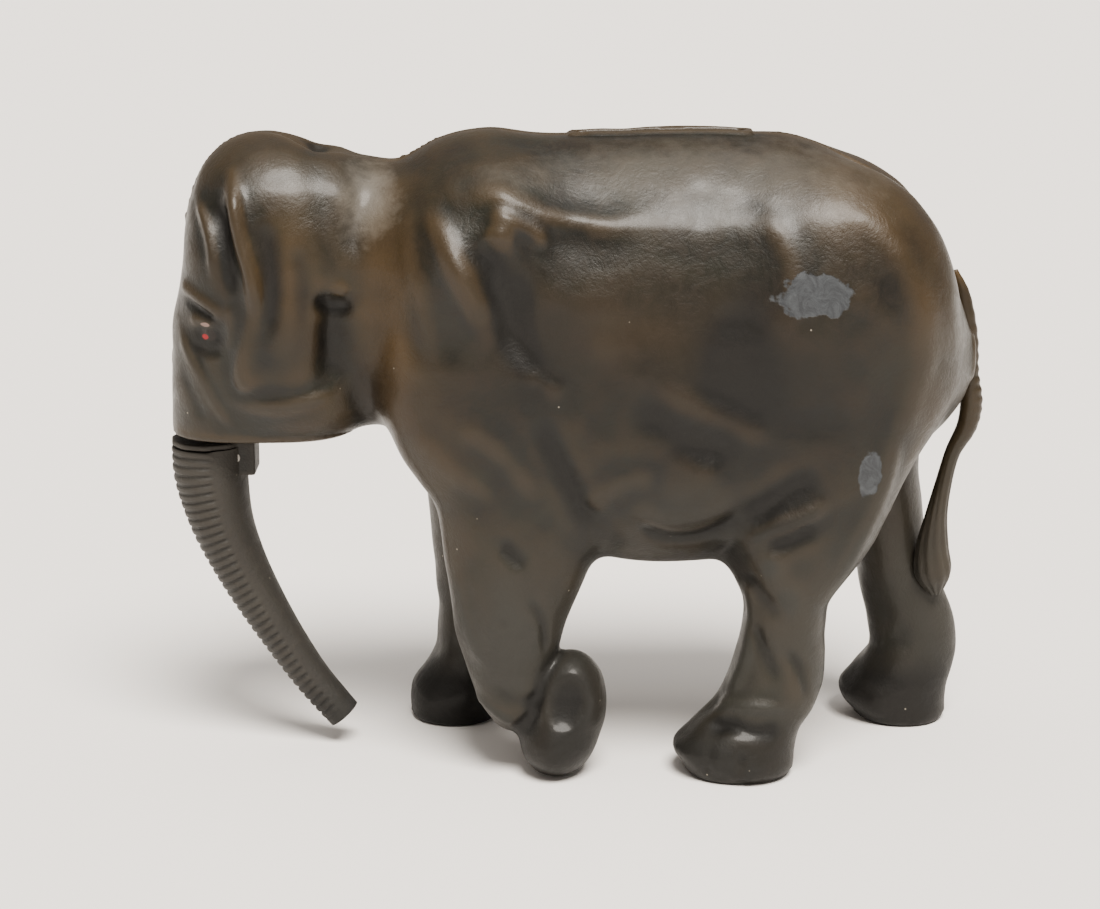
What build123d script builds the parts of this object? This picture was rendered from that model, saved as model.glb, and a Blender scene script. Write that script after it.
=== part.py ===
from build123d import *

import os
from math import radians, sqrt, tan

# Figural elephant coin bank: a hollow cast body soldered from two halves, a hanging trunk that
# nods, a cast tail, and a hinged trap door with a key lock in the belly.
# Millimetres. The animal faces -X, its left side is -Y, and it stands on the floor at Z = 0.

# Overall size. The outlines below are drawn for the drawn_ size and stretch to this one.
length = 140.0
width = 52.0
height = 109.0
drawn_length = 140.0
drawn_width = 52.0
drawn_height = 109.0

# Clearances
seat_clearance = 0.05  # pieces let into each other and fastened
running_clearance = 0.05  # pins in the pieces that turn on them
guard_gap = 0.3  # moving pieces that pass each other

# Cast body
wall = 2.0
foot_height = 9.0  # the feet are cast solid up to here
slot_length = 28.0
slot_width = 3.2
slot_centre = 14.5  # drawn X of the coin slot on the spine
lip_height = 0.5
lip_border = 1.6

# Trunk joint
trunk_gap = 1.2  # between the trunk's collar and the underside of the head
pivot_rise = 7.0  # pivot above the underside of the head
pin_radius = 1.0
pin_half_length = 6.0
boss_radius = 2.6
side_play = 0.4  # hanger to boss, each side
hanger_thickness = 2.4
hanger_width = 4.6
hanger_eye_radius = 2.5
hanger_depth = 5.2  # length of the stem let into the trunk
rivet_radius = 0.8
rivet_depth = 2.8  # rivet below the top of the collar
rivet_half_length = 4.4
swing_back = 12.0  # degrees, tip towards the feet
swing_forward = 4.5

# Trap door
trap_centre = 14.8  # drawn X
trap_length = 22.0
trap_width = 20.0
trap_corner = 2.5
trap_clearance = 0.35
well_wall = 2.6
well_ledge = 0.8  # the frame sits on this step in the well
door_thickness = 1.2
door_tuck = 0.7  # outer face of the door below the highest corner of the well's mouth
door_gap = 0.25  # between the door and the frame above it
frame_thickness = 1.4
frame_land = 1.8  # how far the frame stands in over the door's edge
hinge_setback = 2.0  # hinge axis from the wall of the well
hinge_pin_radius = 0.65
knuckle_radius = 1.35
knuckle_half_length = 4.0
knuckle_gap = 0.3
knuckle_outer = 7.6

# Lock on the trap door
case_sheet = 0.7
case_flange = 2.2
case_margin = 0.5  # lock case to the opening of the frame
bolt_width = 6.2
bolt_thickness = 1.4
bolt_throw = 2.2
bolt_clearance = 0.12
bolt_bridge = 1.1  # metal behind the slot in the bolt
talon_depth = 0.9
talon_width = 1.0
talon_length = 0.7
talon_spacing = 1.8  # between the two talons
post_radius = 0.9
post_head_radius = 1.5
post_head = 0.3
spring_room = 1.0  # over the bolt
spring_sheet = 0.35
spring_width = 1.4
spring_offset = 2.2
keyhole_radius = 2.0
keyhole_slot = 1.5
keyhole_reach = 4.2
escutcheon_length = 13.2
escutcheon_width = 7.0
escutcheon_sheet = 0.5
escutcheon_pin_radius = 0.5
escutcheon_pin_head = 0.85
small_rivet_radius = 0.6
rivet_head_radius = 1.0
rivet_head = 0.35

# Tail
spigot_radius = 1.5
spigot_length = 5.0
spigot_height = 74.0  # drawn Z

stretch_x = length / drawn_length
stretch_y = width / drawn_width
stretch_z = height / drawn_height

# Torso sections along X: position, top, bottom, half width.
torso_sections = [
    (-50.0, 98.0, 66.0, 11.0),
    (-38.0, 103.6, 61.0, 15.0),
    (-28.0, 104.8, 55.0, 19.0),
    (-17.0, 108.0, 46.0, 22.5),
    (-4.0, 107.6, 38.8, 25.0),
    (10.0, 108.5, 35.0, 26.0),
    (25.0, 108.0, 33.8, 26.0),
    (38.0, 106.4, 37.0, 25.0),
    (50.0, 99.6, 43.5, 22.0),
    (58.0, 90.5, 51.0, 17.5),
    (64.0, 81.0, 60.0, 11.0),
    (65.6, 76.0, 65.0, 7.0),
]

# Head sections up Z: height, centre X, half length, half width.
head_sections = [
    (56.5, -54.3, 15.0, 11.5),
    (62.0, -52.4, 17.3, 14.0),
    (70.0, -51.6, 18.0, 16.5),
    (80.0, -51.3, 16.8, 18.0),
    (90.0, -51.3, 14.3, 17.5),
    (98.0, -51.2, 12.2, 15.5),
    (104.0, -50.6, 8.8, 12.0),
    (107.2, -50.8, 5.0, 7.5),
]

# Leg sections up Z: height, centre X, half length, centre Y away from the middle, half width.
hind_left_leg = [
    (0.0, 29.5, 8.0, 15.5, 8.6),
    (4.5, 28.5, 10.2, 15.5, 9.4),
    (12.5, 32.8, 7.8, 15.5, 8.0),
    (21.5, 35.7, 6.6, 15.5, 7.6),
    (30.0, 36.0, 7.0, 15.0, 8.4),
    (38.0, 38.0, 10.6, 14.5, 9.4),
    (50.0, 42.0, 13.6, 13.0, 9.3),
    (62.0, 43.0, 12.6, 10.5, 9.0),
    (74.0, 44.0, 8.5, 9.5, 6.5),
]
hind_right_leg = [
    (0.0, 60.2, 7.0, 15.5, 8.2),
    (5.5, 58.4, 9.8, 15.5, 9.2),
    (12.0, 61.6, 7.8, 15.5, 8.0),
    (20.0, 60.8, 7.4, 15.5, 7.6),
    (29.0, 58.4, 7.0, 15.0, 7.8),
    (40.0, 55.0, 8.4, 14.0, 8.4),
    (52.0, 50.5, 9.8, 12.0, 8.0),
    (64.0, 48.5, 9.5, 10.0, 7.0),
]
fore_left_leg = [
    (9.5, -10.4, 3.6, 14.5, 4.6),
    (13.0, -11.0, 5.3, 14.5, 6.0),
    (20.0, -11.2, 7.4, 15.0, 7.4),
    (27.0, -11.0, 9.3, 15.0, 8.2),
    (38.0, -10.4, 11.6, 14.5, 9.2),
    (52.0, -13.0, 12.6, 12.0, 9.3),
    (64.0, -14.0, 11.5, 10.0, 8.8),
    (76.0, -14.5, 7.5, 9.5, 6.5),
]
fore_left_foot = [
    (0.0, -2.2, 2.8, 13.5, 5.0),
    (5.0, -2.6, 5.6, 13.8, 7.0),
    (12.0, -2.2, 6.8, 14.2, 7.4),
    (18.0, 0.0, 4.6, 14.5, 6.4),
    (20.3, 0.6, 2.4, 14.5, 4.2),
]
fore_right_leg = [
    (0.0, -20.6, 7.4, 15.5, 8.2),
    (5.0, -21.4, 8.5, 15.5, 9.0),
    (12.0, -19.6, 6.0, 15.5, 7.2),
    (20.0, -19.0, 6.0, 15.2, 7.2),
    (29.0, -18.2, 6.8, 15.0, 7.8),
    (40.0, -17.5, 8.4, 14.5, 8.8),
    (54.0, -17.5, 10.5, 12.0, 9.0),
    (66.0, -17.0, 10.0, 10.0, 8.5),
]

# Ear outline on the side of the head, in X and Z, and how far out the flap stands.
ear_outline = [
    (-55.0, 101.0),
    (-56.0, 84.0),
    (-56.4, 68.0),
    (-49.0, 66.5),
    (-42.0, 68.5),
    (-40.4, 84.0),
    (-42.5, 99.0),
    (-48.5, 104.0),
]
ear_top_y = 12.5
ear_bottom_y = 17.4
ear_thickness = 2.2
ear_root = 3.0  # how far the flap runs into the head

# Trunk sections below the collar: X, Z, lean from upright, half depth, half width.
trunk_sections = [
    (-63.2, 50.0, 2.0, 6.4, 7.4),
    (-61.5, 41.0, 14.0, 5.3, 6.6),
    (-58.5, 33.0, 24.0, 4.6, 5.8),
    (-54.5, 25.5, 31.0, 4.0, 5.0),
    (-50.2, 18.5, 34.0, 3.5, 4.3),
    (-45.6, 11.6, 37.0, 3.1, 3.7),
    (-41.4, 6.0, 40.0, 3.0, 3.5),
]
collar_centre = -63.2
collar_half_depth = 6.8
collar_half_width = 7.6
collar_thickness = 0.9
collar_taper = 0.3
lug_back = -54.9
lug_height = 6.0
lug_half_width = 4.2

# Tail sections from the rump to the tuft: X, Y, Z, lean from upright, radius.
tail_sections = [
    (67.0, 0.0, 80.0, -22.0, 1.1),
    (68.2, 0.0, 73.0, -8.0, 1.7),
    (68.4, 0.2, 65.0, 2.0, 1.6),
    (67.8, 0.8, 57.5, 18.0, 1.9),
    (65.8, 1.8, 50.0, 14.0, 1.6),
    (64.6, 2.8, 42.0, 4.0, 1.6),
    (64.3, 3.6, 34.0, -2.0, 2.2),
    (64.6, 4.0, 27.0, -3.0, 2.3),
    (64.9, 4.2, 22.5, -3.0, 1.2),
]


def at_x(x):
    return x * stretch_x


def at_y(y):
    return y * stretch_y


def at_z(z):
    return z * stretch_z


# Head and trunk joint levels
head_base = at_z(head_sections[0][0])
head_top = at_z(head_sections[-1][0])
collar_top = head_base - trunk_gap
pivot_z = head_base + pivot_rise


def belly_height(x, y):
    """Height of the outer belly at X, Y, between the drawn sections."""
    for near, far in zip(torso_sections, torso_sections[1:]):
        if at_x(near[0]) <= x <= at_x(far[0]):
            share = (x - at_x(near[0])) / (at_x(far[0]) - at_x(near[0]))
            top, bottom, half = (a + (b - a) * share for a, b in zip(near[1:], far[1:]))
            middle, drop = at_z(top + bottom) / 2, at_z(top - bottom) / 2
            return middle - drop * sqrt(1 - (y / at_y(half)) ** 2)
    raise ValueError("that X is off the torso")


# Trap door levels, from the door's outer face up to the top of the lock case
trap_x = at_x(trap_centre)
mouth_height = belly_height(trap_x - trap_length / 2, trap_width / 2)
door_face = mouth_height - door_tuck
door_top = door_face + door_thickness
frame_bottom = door_top + door_gap
frame_top = frame_bottom + frame_thickness
bolt_bottom = frame_top + guard_gap
bolt_top = bolt_bottom + bolt_thickness
case_inside_top = bolt_top + spring_room
case_top = case_inside_top + case_sheet

# Trap door plan: half lengths along X from trap_x, and Y from the free edge to the hinge
hinge_y = trap_width / 2 - hinge_setback
hinge_z = frame_bottom - guard_gap - knuckle_radius
door_half_length = trap_length / 2 - trap_clearance
door_free_y = trap_clearance - trap_width / 2
door_hinge_y = hinge_y - knuckle_radius - guard_gap
opening_half_length = door_half_length - frame_land
opening_free_y = door_free_y + frame_land
opening_hinge_y = door_hinge_y - frame_land


def swing_front(level):
    """The foremost Y at that level that still swings clear of the frame's free edge."""
    reach = hinge_y - opening_free_y - guard_gap
    return hinge_y - sqrt(reach**2 + (frame_bottom - hinge_z) ** 2 - (level - hinge_z) ** 2)


flange_half_length = opening_half_length - case_margin
case_half_length = flange_half_length - case_flange
case_front = swing_front(case_top)
case_back = opening_hinge_y - case_margin
bolt_front = swing_front(bolt_top)
bolt_back = case_back - case_sheet - guard_gap
keyhole_y = bolt_back - bolt_bridge - bolt_throw - post_radius - bolt_clearance


def torso(inset):
    """The barrel of the body, neck to rump, drawn in by inset all round."""
    front, back = at_x(torso_sections[0][0]) + inset, at_x(torso_sections[-1][0]) - inset
    with BuildPart() as barrel:
        for x, top, bottom, half in torso_sections:
            origin = (max(min(at_x(x), back), front), 0, at_z(top + bottom) / 2)
            with BuildSketch(Plane(origin=origin, x_dir=(0, 1, 0), z_dir=(1, 0, 0))):
                Ellipse(at_y(half) - inset, at_z(top - bottom) / 2 - inset)
        loft(ruled=True)
    return barrel.part


def head(inset):
    """The head from its flat underside to the crown, drawn in by inset all round."""
    with BuildPart() as skull:
        for z, x, half_length, half_width in head_sections:
            with BuildSketch(Plane.XY.offset(max(min(at_z(z), head_top - inset), head_base + inset))):
                with Locations((at_x(x), 0)):
                    Ellipse(at_x(half_length) - inset, at_y(half_width) - inset)
        loft(ruled=True)
    return skull.part


def leg(sections, side, inset):
    """A leg on the side with that sign. With an inset it is the hollow above the solid foot."""
    with BuildPart() as limb:
        for z, x, half_length, y, half_width in sections:
            if inset and z < foot_height + inset:
                continue
            with BuildSketch(Plane.XY.offset(at_z(z))):
                with Locations((at_x(x), side * at_y(y))):
                    Ellipse(at_x(half_length) - inset, at_y(half_width) - inset)
        loft(ruled=True)
    return limb.part


def ear(side):
    """The ear flap: a plate that leans out from the crown and runs into the side of the head."""
    top_z, bottom_z = at_z(ear_outline[-1][1]), at_z(ear_outline[3][1])
    run, drop = at_y(ear_bottom_y - ear_top_y), top_z - bottom_z
    slope = sqrt(run**2 + drop**2)
    outward = (0, side * drop / slope, run / slope)
    face = Plane(origin=(0, side * at_y(ear_top_y), top_z), x_dir=(1, 0, 0), z_dir=outward)
    rise = 1 if face.y_dir.Z > 0 else -1
    with BuildPart() as flap:
        with BuildSketch(face.offset(-ear_root)):
            with BuildLine():
                Spline(
                    *[(at_x(x), rise * (at_z(z) - top_z) * slope / drop) for x, z in ear_outline],
                    periodic=True,
                )
            make_face()
        extrude(amount=ear_root + ear_thickness)
    return flap.part


def slot_prism(border, low, high):
    """An upright bar with round ends along the spine, where the coin slot is."""
    with BuildPart() as bar:
        with BuildSketch(Plane.XY.offset(low)):
            with Locations((at_x(slot_centre), 0)):
                SlotOverall(slot_length + 2 * border, slot_width + 2 * border)
        extrude(amount=high - low)
    return bar.part


def slot_lip():
    """The low raised rim round the coin slot, which follows the spine."""
    prism = slot_prism(lip_border, at_z(80), height + lip_height)
    raised = torso(-lip_height)
    with BuildPart() as rim:
        add(raised)
        add(prism, mode=Mode.INTERSECT)
    return rim.part


def trap_prism(grow, low, high):
    """An upright block over the trap opening, grown by that much all round."""
    with BuildPart() as block:
        with BuildSketch(Plane.XY.offset(low)):
            with Locations((trap_x, 0)):
                RectangleRounded(trap_length + 2 * grow, trap_width + 2 * grow, trap_corner + grow)
        extrude(amount=high - low)
    return block.part


def trap_well():
    """The boss inside the belly that holds the trap frame, cut to the outside of the belly."""
    barrel = torso(0)
    prism = trap_prism(well_ledge + well_wall, 0, frame_top)
    with BuildPart() as boss:
        add(barrel)
        add(prism, mode=Mode.INTERSECT)
    return boss.part


def pivot_bosses():
    """A boss on the inside of each cheek, for the trunk's pivot pin."""
    skull = head(0)
    gap = hanger_thickness + 2 * side_play
    with BuildPart() as bosses:
        add(skull)
        with Locations(Plane(origin=(pivot_x, 0, pivot_z), z_dir=(0, 1, 0))):
            Cylinder(boss_radius, 2 * width, mode=Mode.INTERSECT)
        with Locations((pivot_x, 0, pivot_z)):
            Box(4 * boss_radius, gap, 4 * boss_radius, mode=Mode.SUBTRACT)
    return bosses.part


def trunk_form():
    """The trunk with its collar and the square lug behind it, before the hanger is let in."""
    with BuildPart() as form:
        with BuildSketch(Plane.XY.offset(collar_top - collar_thickness)):
            with Locations((at_x(collar_centre), 0)):
                Ellipse(at_x(collar_half_depth) - collar_taper, at_y(collar_half_width) - collar_taper)
        for x, z, lean, half_depth, half_width in trunk_sections:
            section = Plane(origin=(at_x(x), 0, at_z(z))).rotated((0, -lean, 0))
            with BuildSketch(section):
                Ellipse(at_x(half_depth), at_y(half_width))
        loft()
        with BuildSketch(Plane.XY.offset(collar_top - collar_thickness)):
            with Locations((at_x(collar_centre), 0)):
                Ellipse(at_x(collar_half_depth), at_y(collar_half_width))
        extrude(amount=collar_thickness)
        with BuildSketch(Plane.XY.offset(collar_top)):
            with Locations(((at_x(collar_centre) + at_x(lug_back)) / 2, 0)):
                Rectangle(at_x(lug_back) - at_x(collar_centre), 2 * at_y(lug_half_width))
        extrude(amount=-lug_height)
    return form.part


trunk_blank = trunk_form()
pivot_x = trunk_blank.center(CenterOf.MASS).X  # the trunk hangs still from over its own weight
stem_bottom = collar_top - hanger_depth
rivet_z = collar_top - rivet_depth


# Body casting: everything outside first, then the hollow, then what stands in the hollow.
forms = [torso(0), head(0), ear(-1), ear(1), slot_lip()]
hollows = [torso(wall), head(wall)]
legs = [
    (hind_left_leg, -1),
    (hind_right_leg, 1),
    (fore_left_leg, -1),
    (fore_right_leg, 1),
]
for sections, side in legs:
    forms.append(leg(sections, side, 0))
    hollows.append(leg(sections, side, wall))
forms.append(leg(fore_left_foot, -1, 0))
fittings = [trap_well(), pivot_bosses()]
coin_slot = slot_prism(0, at_z(80), height + lip_height)
door_way = trap_prism(0, 0, frame_top)
frame_seat = trap_prism(well_ledge, frame_bottom, frame_top)
stem_sway = pivot_rise * tan(radians(max(swing_back, swing_forward)))

with BuildPart() as casting:
    for form in forms:
        add(form)
    for hollow in hollows:
        add(hollow, mode=Mode.SUBTRACT)
    for fitting in fittings:
        add(fitting)
    add(coin_slot, mode=Mode.SUBTRACT)
    add(door_way, mode=Mode.SUBTRACT)
    add(frame_seat, mode=Mode.SUBTRACT)
    with Locations(Plane(origin=(pivot_x, 0, pivot_z), z_dir=(0, 1, 0))):
        Cylinder(
            pin_radius + seat_clearance, 2 * (pin_half_length + seat_clearance), mode=Mode.SUBTRACT
        )
    with BuildSketch(Plane.XY.offset(head_base)):
        with Locations((pivot_x, 0)):
            SlotOverall(
                hanger_width + 2 * (stem_sway + guard_gap) + hanger_thickness,
                hanger_thickness + 2 * side_play,
            )
    extrude(amount=wall, mode=Mode.SUBTRACT)
    with Locations(Plane(origin=(at_x(torso_sections[-1][0]), 0, at_z(spigot_height)), z_dir=(-1, 0, 0))):
        Cylinder(
            spigot_radius + seat_clearance,
            spigot_length,
            align=(Align.CENTER, Align.CENTER, Align.MIN),
            mode=Mode.SUBTRACT,
        )

with BuildPart() as body_left_half:
    add(casting.part)
    split(bisect_by=Plane.XZ, keep=Keep.TOP)

with BuildPart() as body_right_half:
    add(casting.part)
    split(bisect_by=Plane.XZ, keep=Keep.BOTTOM)

# Tail: a tapering casting with a tuft, soldered in by a spigot at the seam.
tail_foot = at_x(torso_sections[-1][0]) - spigot_length + seat_clearance

with BuildPart() as tail:
    for x, y, z, lean, radius in tail_sections:
        section = Plane(origin=(at_x(x), at_y(y), at_z(z))).rotated((0, lean, 0))
        with BuildSketch(section):
            Circle(radius)
    loft()
    with Locations(Plane(origin=(tail_foot, 0, at_z(spigot_height)), z_dir=(1, 0, 0))):
        Cylinder(
            spigot_radius,
            at_x(tail_sections[1][0]) - tail_foot,
            align=(Align.CENTER, Align.CENTER, Align.MIN),
        )

# Trunk, its hanger, and the pins that hold them.
with BuildPart() as trunk_casting:
    add(trunk_blank)
    with Locations((pivot_x, 0, collar_top)):
        Box(
            hanger_width + 2 * seat_clearance,
            hanger_thickness + 2 * seat_clearance,
            2 * (hanger_depth + seat_clearance),
            mode=Mode.SUBTRACT,
        )
    with Locations(Plane(origin=(pivot_x, 0, rivet_z), z_dir=(0, 1, 0))):
        Cylinder(
            rivet_radius + seat_clearance,
            2 * (rivet_half_length + seat_clearance),
            mode=Mode.SUBTRACT,
        )

with BuildPart() as trunk_hanger:
    with BuildSketch(Plane.XZ.offset(-hanger_thickness / 2)):
        with Locations((pivot_x, (pivot_z + stem_bottom) / 2)):
            Rectangle(hanger_width, pivot_z - stem_bottom)
        with Locations((pivot_x, pivot_z)):
            Circle(hanger_eye_radius)
            Circle(pin_radius + running_clearance, mode=Mode.SUBTRACT)
        with Locations((pivot_x, rivet_z)):
            Circle(rivet_radius + seat_clearance, mode=Mode.SUBTRACT)
    extrude(amount=hanger_thickness)

with BuildPart() as hanger_rivet:
    with Locations(Plane(origin=(pivot_x, 0, rivet_z), z_dir=(0, 1, 0))):
        Cylinder(rivet_radius, 2 * rivet_half_length)

with BuildPart() as trunk_pivot_pin:
    with Locations(Plane(origin=(pivot_x, 0, pivot_z), z_dir=(0, 1, 0))):
        Cylinder(pin_radius, 2 * pin_half_length)

# Trap frame: a plate on the ledge of the well, with two hinge knuckles on its underside.
knuckle_length = knuckle_outer - knuckle_half_length - knuckle_gap
knuckle_middle = (knuckle_outer + knuckle_half_length + knuckle_gap) / 2

with BuildPart() as trap_frame:
    with BuildSketch(Plane.XY.offset(frame_bottom)):
        with Locations((trap_x, 0)):
            RectangleRounded(
                trap_length + 2 * (well_ledge - seat_clearance),
                trap_width + 2 * (well_ledge - seat_clearance),
                trap_corner + well_ledge,
            )
        with Locations((trap_x, (opening_free_y + opening_hinge_y) / 2)):
            Rectangle(2 * opening_half_length, opening_hinge_y - opening_free_y, mode=Mode.SUBTRACT)
    extrude(amount=frame_thickness)
    for end in (-1, 1):
        x = trap_x + end * knuckle_middle
        with Locations(Plane(origin=(x, hinge_y, hinge_z), z_dir=(1, 0, 0))):
            Cylinder(knuckle_radius, knuckle_length)
        with Locations((x, hinge_y + knuckle_radius / 2, (hinge_z + frame_bottom) / 2)):
            Box(knuckle_length, knuckle_radius, frame_bottom - hinge_z)
    with Locations(Plane(origin=(trap_x, hinge_y, hinge_z), z_dir=(1, 0, 0))):
        Cylinder(hinge_pin_radius + seat_clearance, 2 * knuckle_outer, mode=Mode.SUBTRACT)

with BuildPart() as trap_hinge_pin:
    with Locations(Plane(origin=(trap_x, hinge_y, hinge_z), z_dir=(1, 0, 0))):
        Cylinder(hinge_pin_radius, 2 * knuckle_outer)

# Trap door: a plate with a knuckle, a keyhole and rivet holes.
rivet_places = [
    (trap_x + end * (flange_half_length - case_flange / 2), y)
    for end in (-1, 1)
    for y in (case_front + case_flange / 2, case_back - case_flange / 2)
]
escutcheon_pins_x = escutcheon_length / 2 - 2 * escutcheon_pin_radius
pin_places = [(trap_x + end * escutcheon_pins_x, keyhole_y) for end in (-1, 1)]


def keyhole(low, high):
    """The keyhole: a round hole for the barrel of the key and a slot for its bit."""
    with BuildPart() as hole:
        with BuildSketch(Plane.XY.offset(low)):
            with Locations((trap_x, keyhole_y)):
                Circle(keyhole_radius)
            with Locations((trap_x - keyhole_reach / 2, keyhole_y)):
                Rectangle(keyhole_reach, keyhole_slot)
        extrude(amount=high - low)
    return hole.part


door_keyhole = keyhole(door_face - escutcheon_sheet, door_top)

with BuildPart() as trap_door:
    with BuildSketch(Plane.XY.offset(door_face)):
        with Locations((trap_x, (door_free_y + door_hinge_y) / 2)):
            plate = Rectangle(2 * door_half_length, door_hinge_y - door_free_y)
        fillet(plate.vertices().group_by(Axis.Y)[0], trap_corner)
        with Locations((trap_x, (door_hinge_y + hinge_y) / 2)):
            Rectangle(2 * knuckle_half_length, hinge_y - door_hinge_y)
    extrude(amount=door_thickness)
    with Locations(Plane(origin=(trap_x, hinge_y, hinge_z), z_dir=(1, 0, 0))):
        Cylinder(knuckle_radius, 2 * knuckle_half_length)
        Cylinder(hinge_pin_radius + running_clearance, 2 * knuckle_outer, mode=Mode.SUBTRACT)
    add(door_keyhole, mode=Mode.SUBTRACT)
    with Locations(*[(x, y, door_face) for x, y in rivet_places]):
        Cylinder(small_rivet_radius + seat_clearance, 4 * door_thickness, mode=Mode.SUBTRACT)
    with Locations(*[(x, y, door_face) for x, y in pin_places]):
        Cylinder(escutcheon_pin_radius + seat_clearance, 4 * door_thickness, mode=Mode.SUBTRACT)

# Lock case: folded sheet on the inner face of the door, open below.
case_depth = case_back - case_front
case_middle = (case_back + case_front) / 2
bolt_way = bolt_bottom - talon_depth - bolt_clearance

with BuildPart() as lock_case:
    with BuildSketch(Plane.XY.offset(door_top)):
        with Locations((trap_x, case_middle)):
            Rectangle(2 * flange_half_length, case_depth)
    extrude(amount=case_sheet)
    with BuildSketch(Plane.XY.offset(door_top)):
        with Locations((trap_x, case_middle)):
            Rectangle(2 * case_half_length, case_depth)
    extrude(amount=case_top - door_top)
    with BuildSketch(Plane.XY.offset(door_top)):
        with Locations((trap_x, case_middle)):
            Rectangle(2 * (case_half_length - case_sheet), case_depth - 2 * case_sheet)
    extrude(amount=case_inside_top - door_top, mode=Mode.SUBTRACT)
    with Locations((trap_x, case_front, (bolt_way + bolt_top + bolt_clearance) / 2)):
        Box(
            bolt_width + 2 * bolt_clearance,
            4 * case_sheet,
            bolt_top + bolt_clearance - bolt_way,
            mode=Mode.SUBTRACT,
        )
    with Locations((trap_x, keyhole_y, case_top)):
        Cylinder(post_radius + seat_clearance, 2 * (case_top - door_top), mode=Mode.SUBTRACT)
    with Locations(*[(x, y, door_top) for x, y in rivet_places]):
        Cylinder(small_rivet_radius + seat_clearance, 4 * case_sheet, mode=Mode.SUBTRACT)

# Lock bolt: a plate that straddles the key post, with two talons for the key's bit.
slot_front = keyhole_y - post_radius - bolt_clearance
slot_back = bolt_back - bolt_bridge
talon_middle = keyhole_y + bolt_throw / 2

with BuildPart() as lock_bolt:
    with BuildSketch(Plane.XY.offset(bolt_bottom)):
        with Locations((trap_x, (bolt_front + bolt_back) / 2)):
            Rectangle(bolt_width, bolt_back - bolt_front)
        with Locations((trap_x, (slot_front + slot_back) / 2)):
            SlotOverall(
                slot_back - slot_front,
                2 * (post_radius + bolt_clearance),
                rotation=90,
                mode=Mode.SUBTRACT,
            )
    extrude(amount=bolt_thickness)
    with BuildSketch(Plane.XY.offset(bolt_bottom)):
        for end in (-1, 1):
            y = talon_middle + end * (talon_spacing + talon_length) / 2
            with Locations((trap_x + (bolt_width - talon_width) / 2, y)):
                Rectangle(talon_width, talon_length)
    extrude(amount=-talon_depth)

# Key post: the drill pin that a hollow key slides over, riveted into the top of the case.
with BuildPart() as key_post:
    with Locations((trap_x, keyhole_y, door_face + seat_clearance)):
        Cylinder(
            post_radius,
            case_top - door_face - seat_clearance,
            align=(Align.CENTER, Align.CENTER, Align.MIN),
        )
    with Locations((trap_x, keyhole_y, case_top)):
        Cylinder(post_head_radius, post_head, align=(Align.CENTER, Align.CENTER, Align.MIN))

# Leaf spring: a shallow bow between the top of the case and the bolt.
spring_front = case_front + case_sheet + guard_gap
spring_back = case_back - case_sheet - guard_gap
spring_middle = (spring_front + spring_back) / 2
bow_low = bolt_top + guard_gap

with BuildPart() as lock_spring:
    with BuildSketch(Plane.YZ.offset(trap_x + spring_offset - spring_width / 2)):
        with BuildLine():
            low_arc = ThreePointArc(
                (spring_front, case_inside_top - spring_sheet),
                (spring_middle, bow_low),
                (spring_back, case_inside_top - spring_sheet),
            )
            high_arc = ThreePointArc(
                (spring_front, case_inside_top),
                (spring_middle, bow_low + spring_sheet),
                (spring_back, case_inside_top),
            )
            Line(low_arc @ 0, high_arc @ 0)
            Line(low_arc @ 1, high_arc @ 1)
        make_face()
    extrude(amount=spring_width)

with BuildPart() as lock_rivets:
    with Locations(*[(x, y, door_face) for x, y in rivet_places]):
        Cylinder(
            small_rivet_radius,
            door_thickness + case_sheet,
            align=(Align.CENTER, Align.CENTER, Align.MIN),
        )
        Cylinder(rivet_head_radius, rivet_head, align=(Align.CENTER, Align.CENTER, Align.MAX))
    with Locations(*[(x, y, door_top + case_sheet) for x, y in rivet_places]):
        Cylinder(rivet_head_radius, rivet_head, align=(Align.CENTER, Align.CENTER, Align.MIN))

with BuildPart() as keyhole_escutcheon:
    with BuildSketch(Plane.XY.offset(door_face)):
        with Locations((trap_x, keyhole_y)):
            Ellipse(escutcheon_length / 2, escutcheon_width / 2)
    extrude(amount=-escutcheon_sheet)
    add(door_keyhole, mode=Mode.SUBTRACT)
    with Locations(*[(x, y, door_face) for x, y in pin_places]):
        Cylinder(escutcheon_pin_radius + seat_clearance, 4 * escutcheon_sheet, mode=Mode.SUBTRACT)
    with Locations(*[(x, y, door_face) for x, y in rivet_places]):
        Cylinder(rivet_head_radius + seat_clearance, 4 * escutcheon_sheet, mode=Mode.SUBTRACT)

with BuildPart() as escutcheon_pins:
    with Locations(*[(x, y, door_face - escutcheon_sheet) for x, y in pin_places]):
        Cylinder(
            escutcheon_pin_radius,
            escutcheon_sheet + door_thickness,
            align=(Align.CENTER, Align.CENTER, Align.MIN),
        )
        Cylinder(escutcheon_pin_head, rivet_head, align=(Align.CENTER, Align.CENTER, Align.MAX))

pieces = {
    "body_left_half": body_left_half,
    "body_right_half": body_right_half,
    "tail": tail,
    "trunk_casting": trunk_casting,
    "trunk_hanger": trunk_hanger,
    "hanger_rivet": hanger_rivet,
    "trunk_pivot_pin": trunk_pivot_pin,
    "trap_frame": trap_frame,
    "trap_hinge_pin": trap_hinge_pin,
    "trap_door": trap_door,
    "lock_case": lock_case,
    "lock_bolt": lock_bolt,
    "key_post": key_post,
    "lock_spring": lock_spring,
    "lock_rivets": lock_rivets,
    "keyhole_escutcheon": keyhole_escutcheon,
    "escutcheon_pins": escutcheon_pins,
}

os.makedirs("parts", exist_ok=True)
for name, piece in pieces.items():
    piece.part.label = name
    export_step(piece.part, f"parts/{name}.step")

print(f"trunk pivot at X {pivot_x:.3f}, Z {pivot_z:.3f}")
print(f"trap hinge at Y {hinge_y:.3f}, Z {hinge_z:.3f}")
print(f"door face at Z {door_face:.3f}, lock case top at Z {case_top:.3f}")
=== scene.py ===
import math

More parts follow.
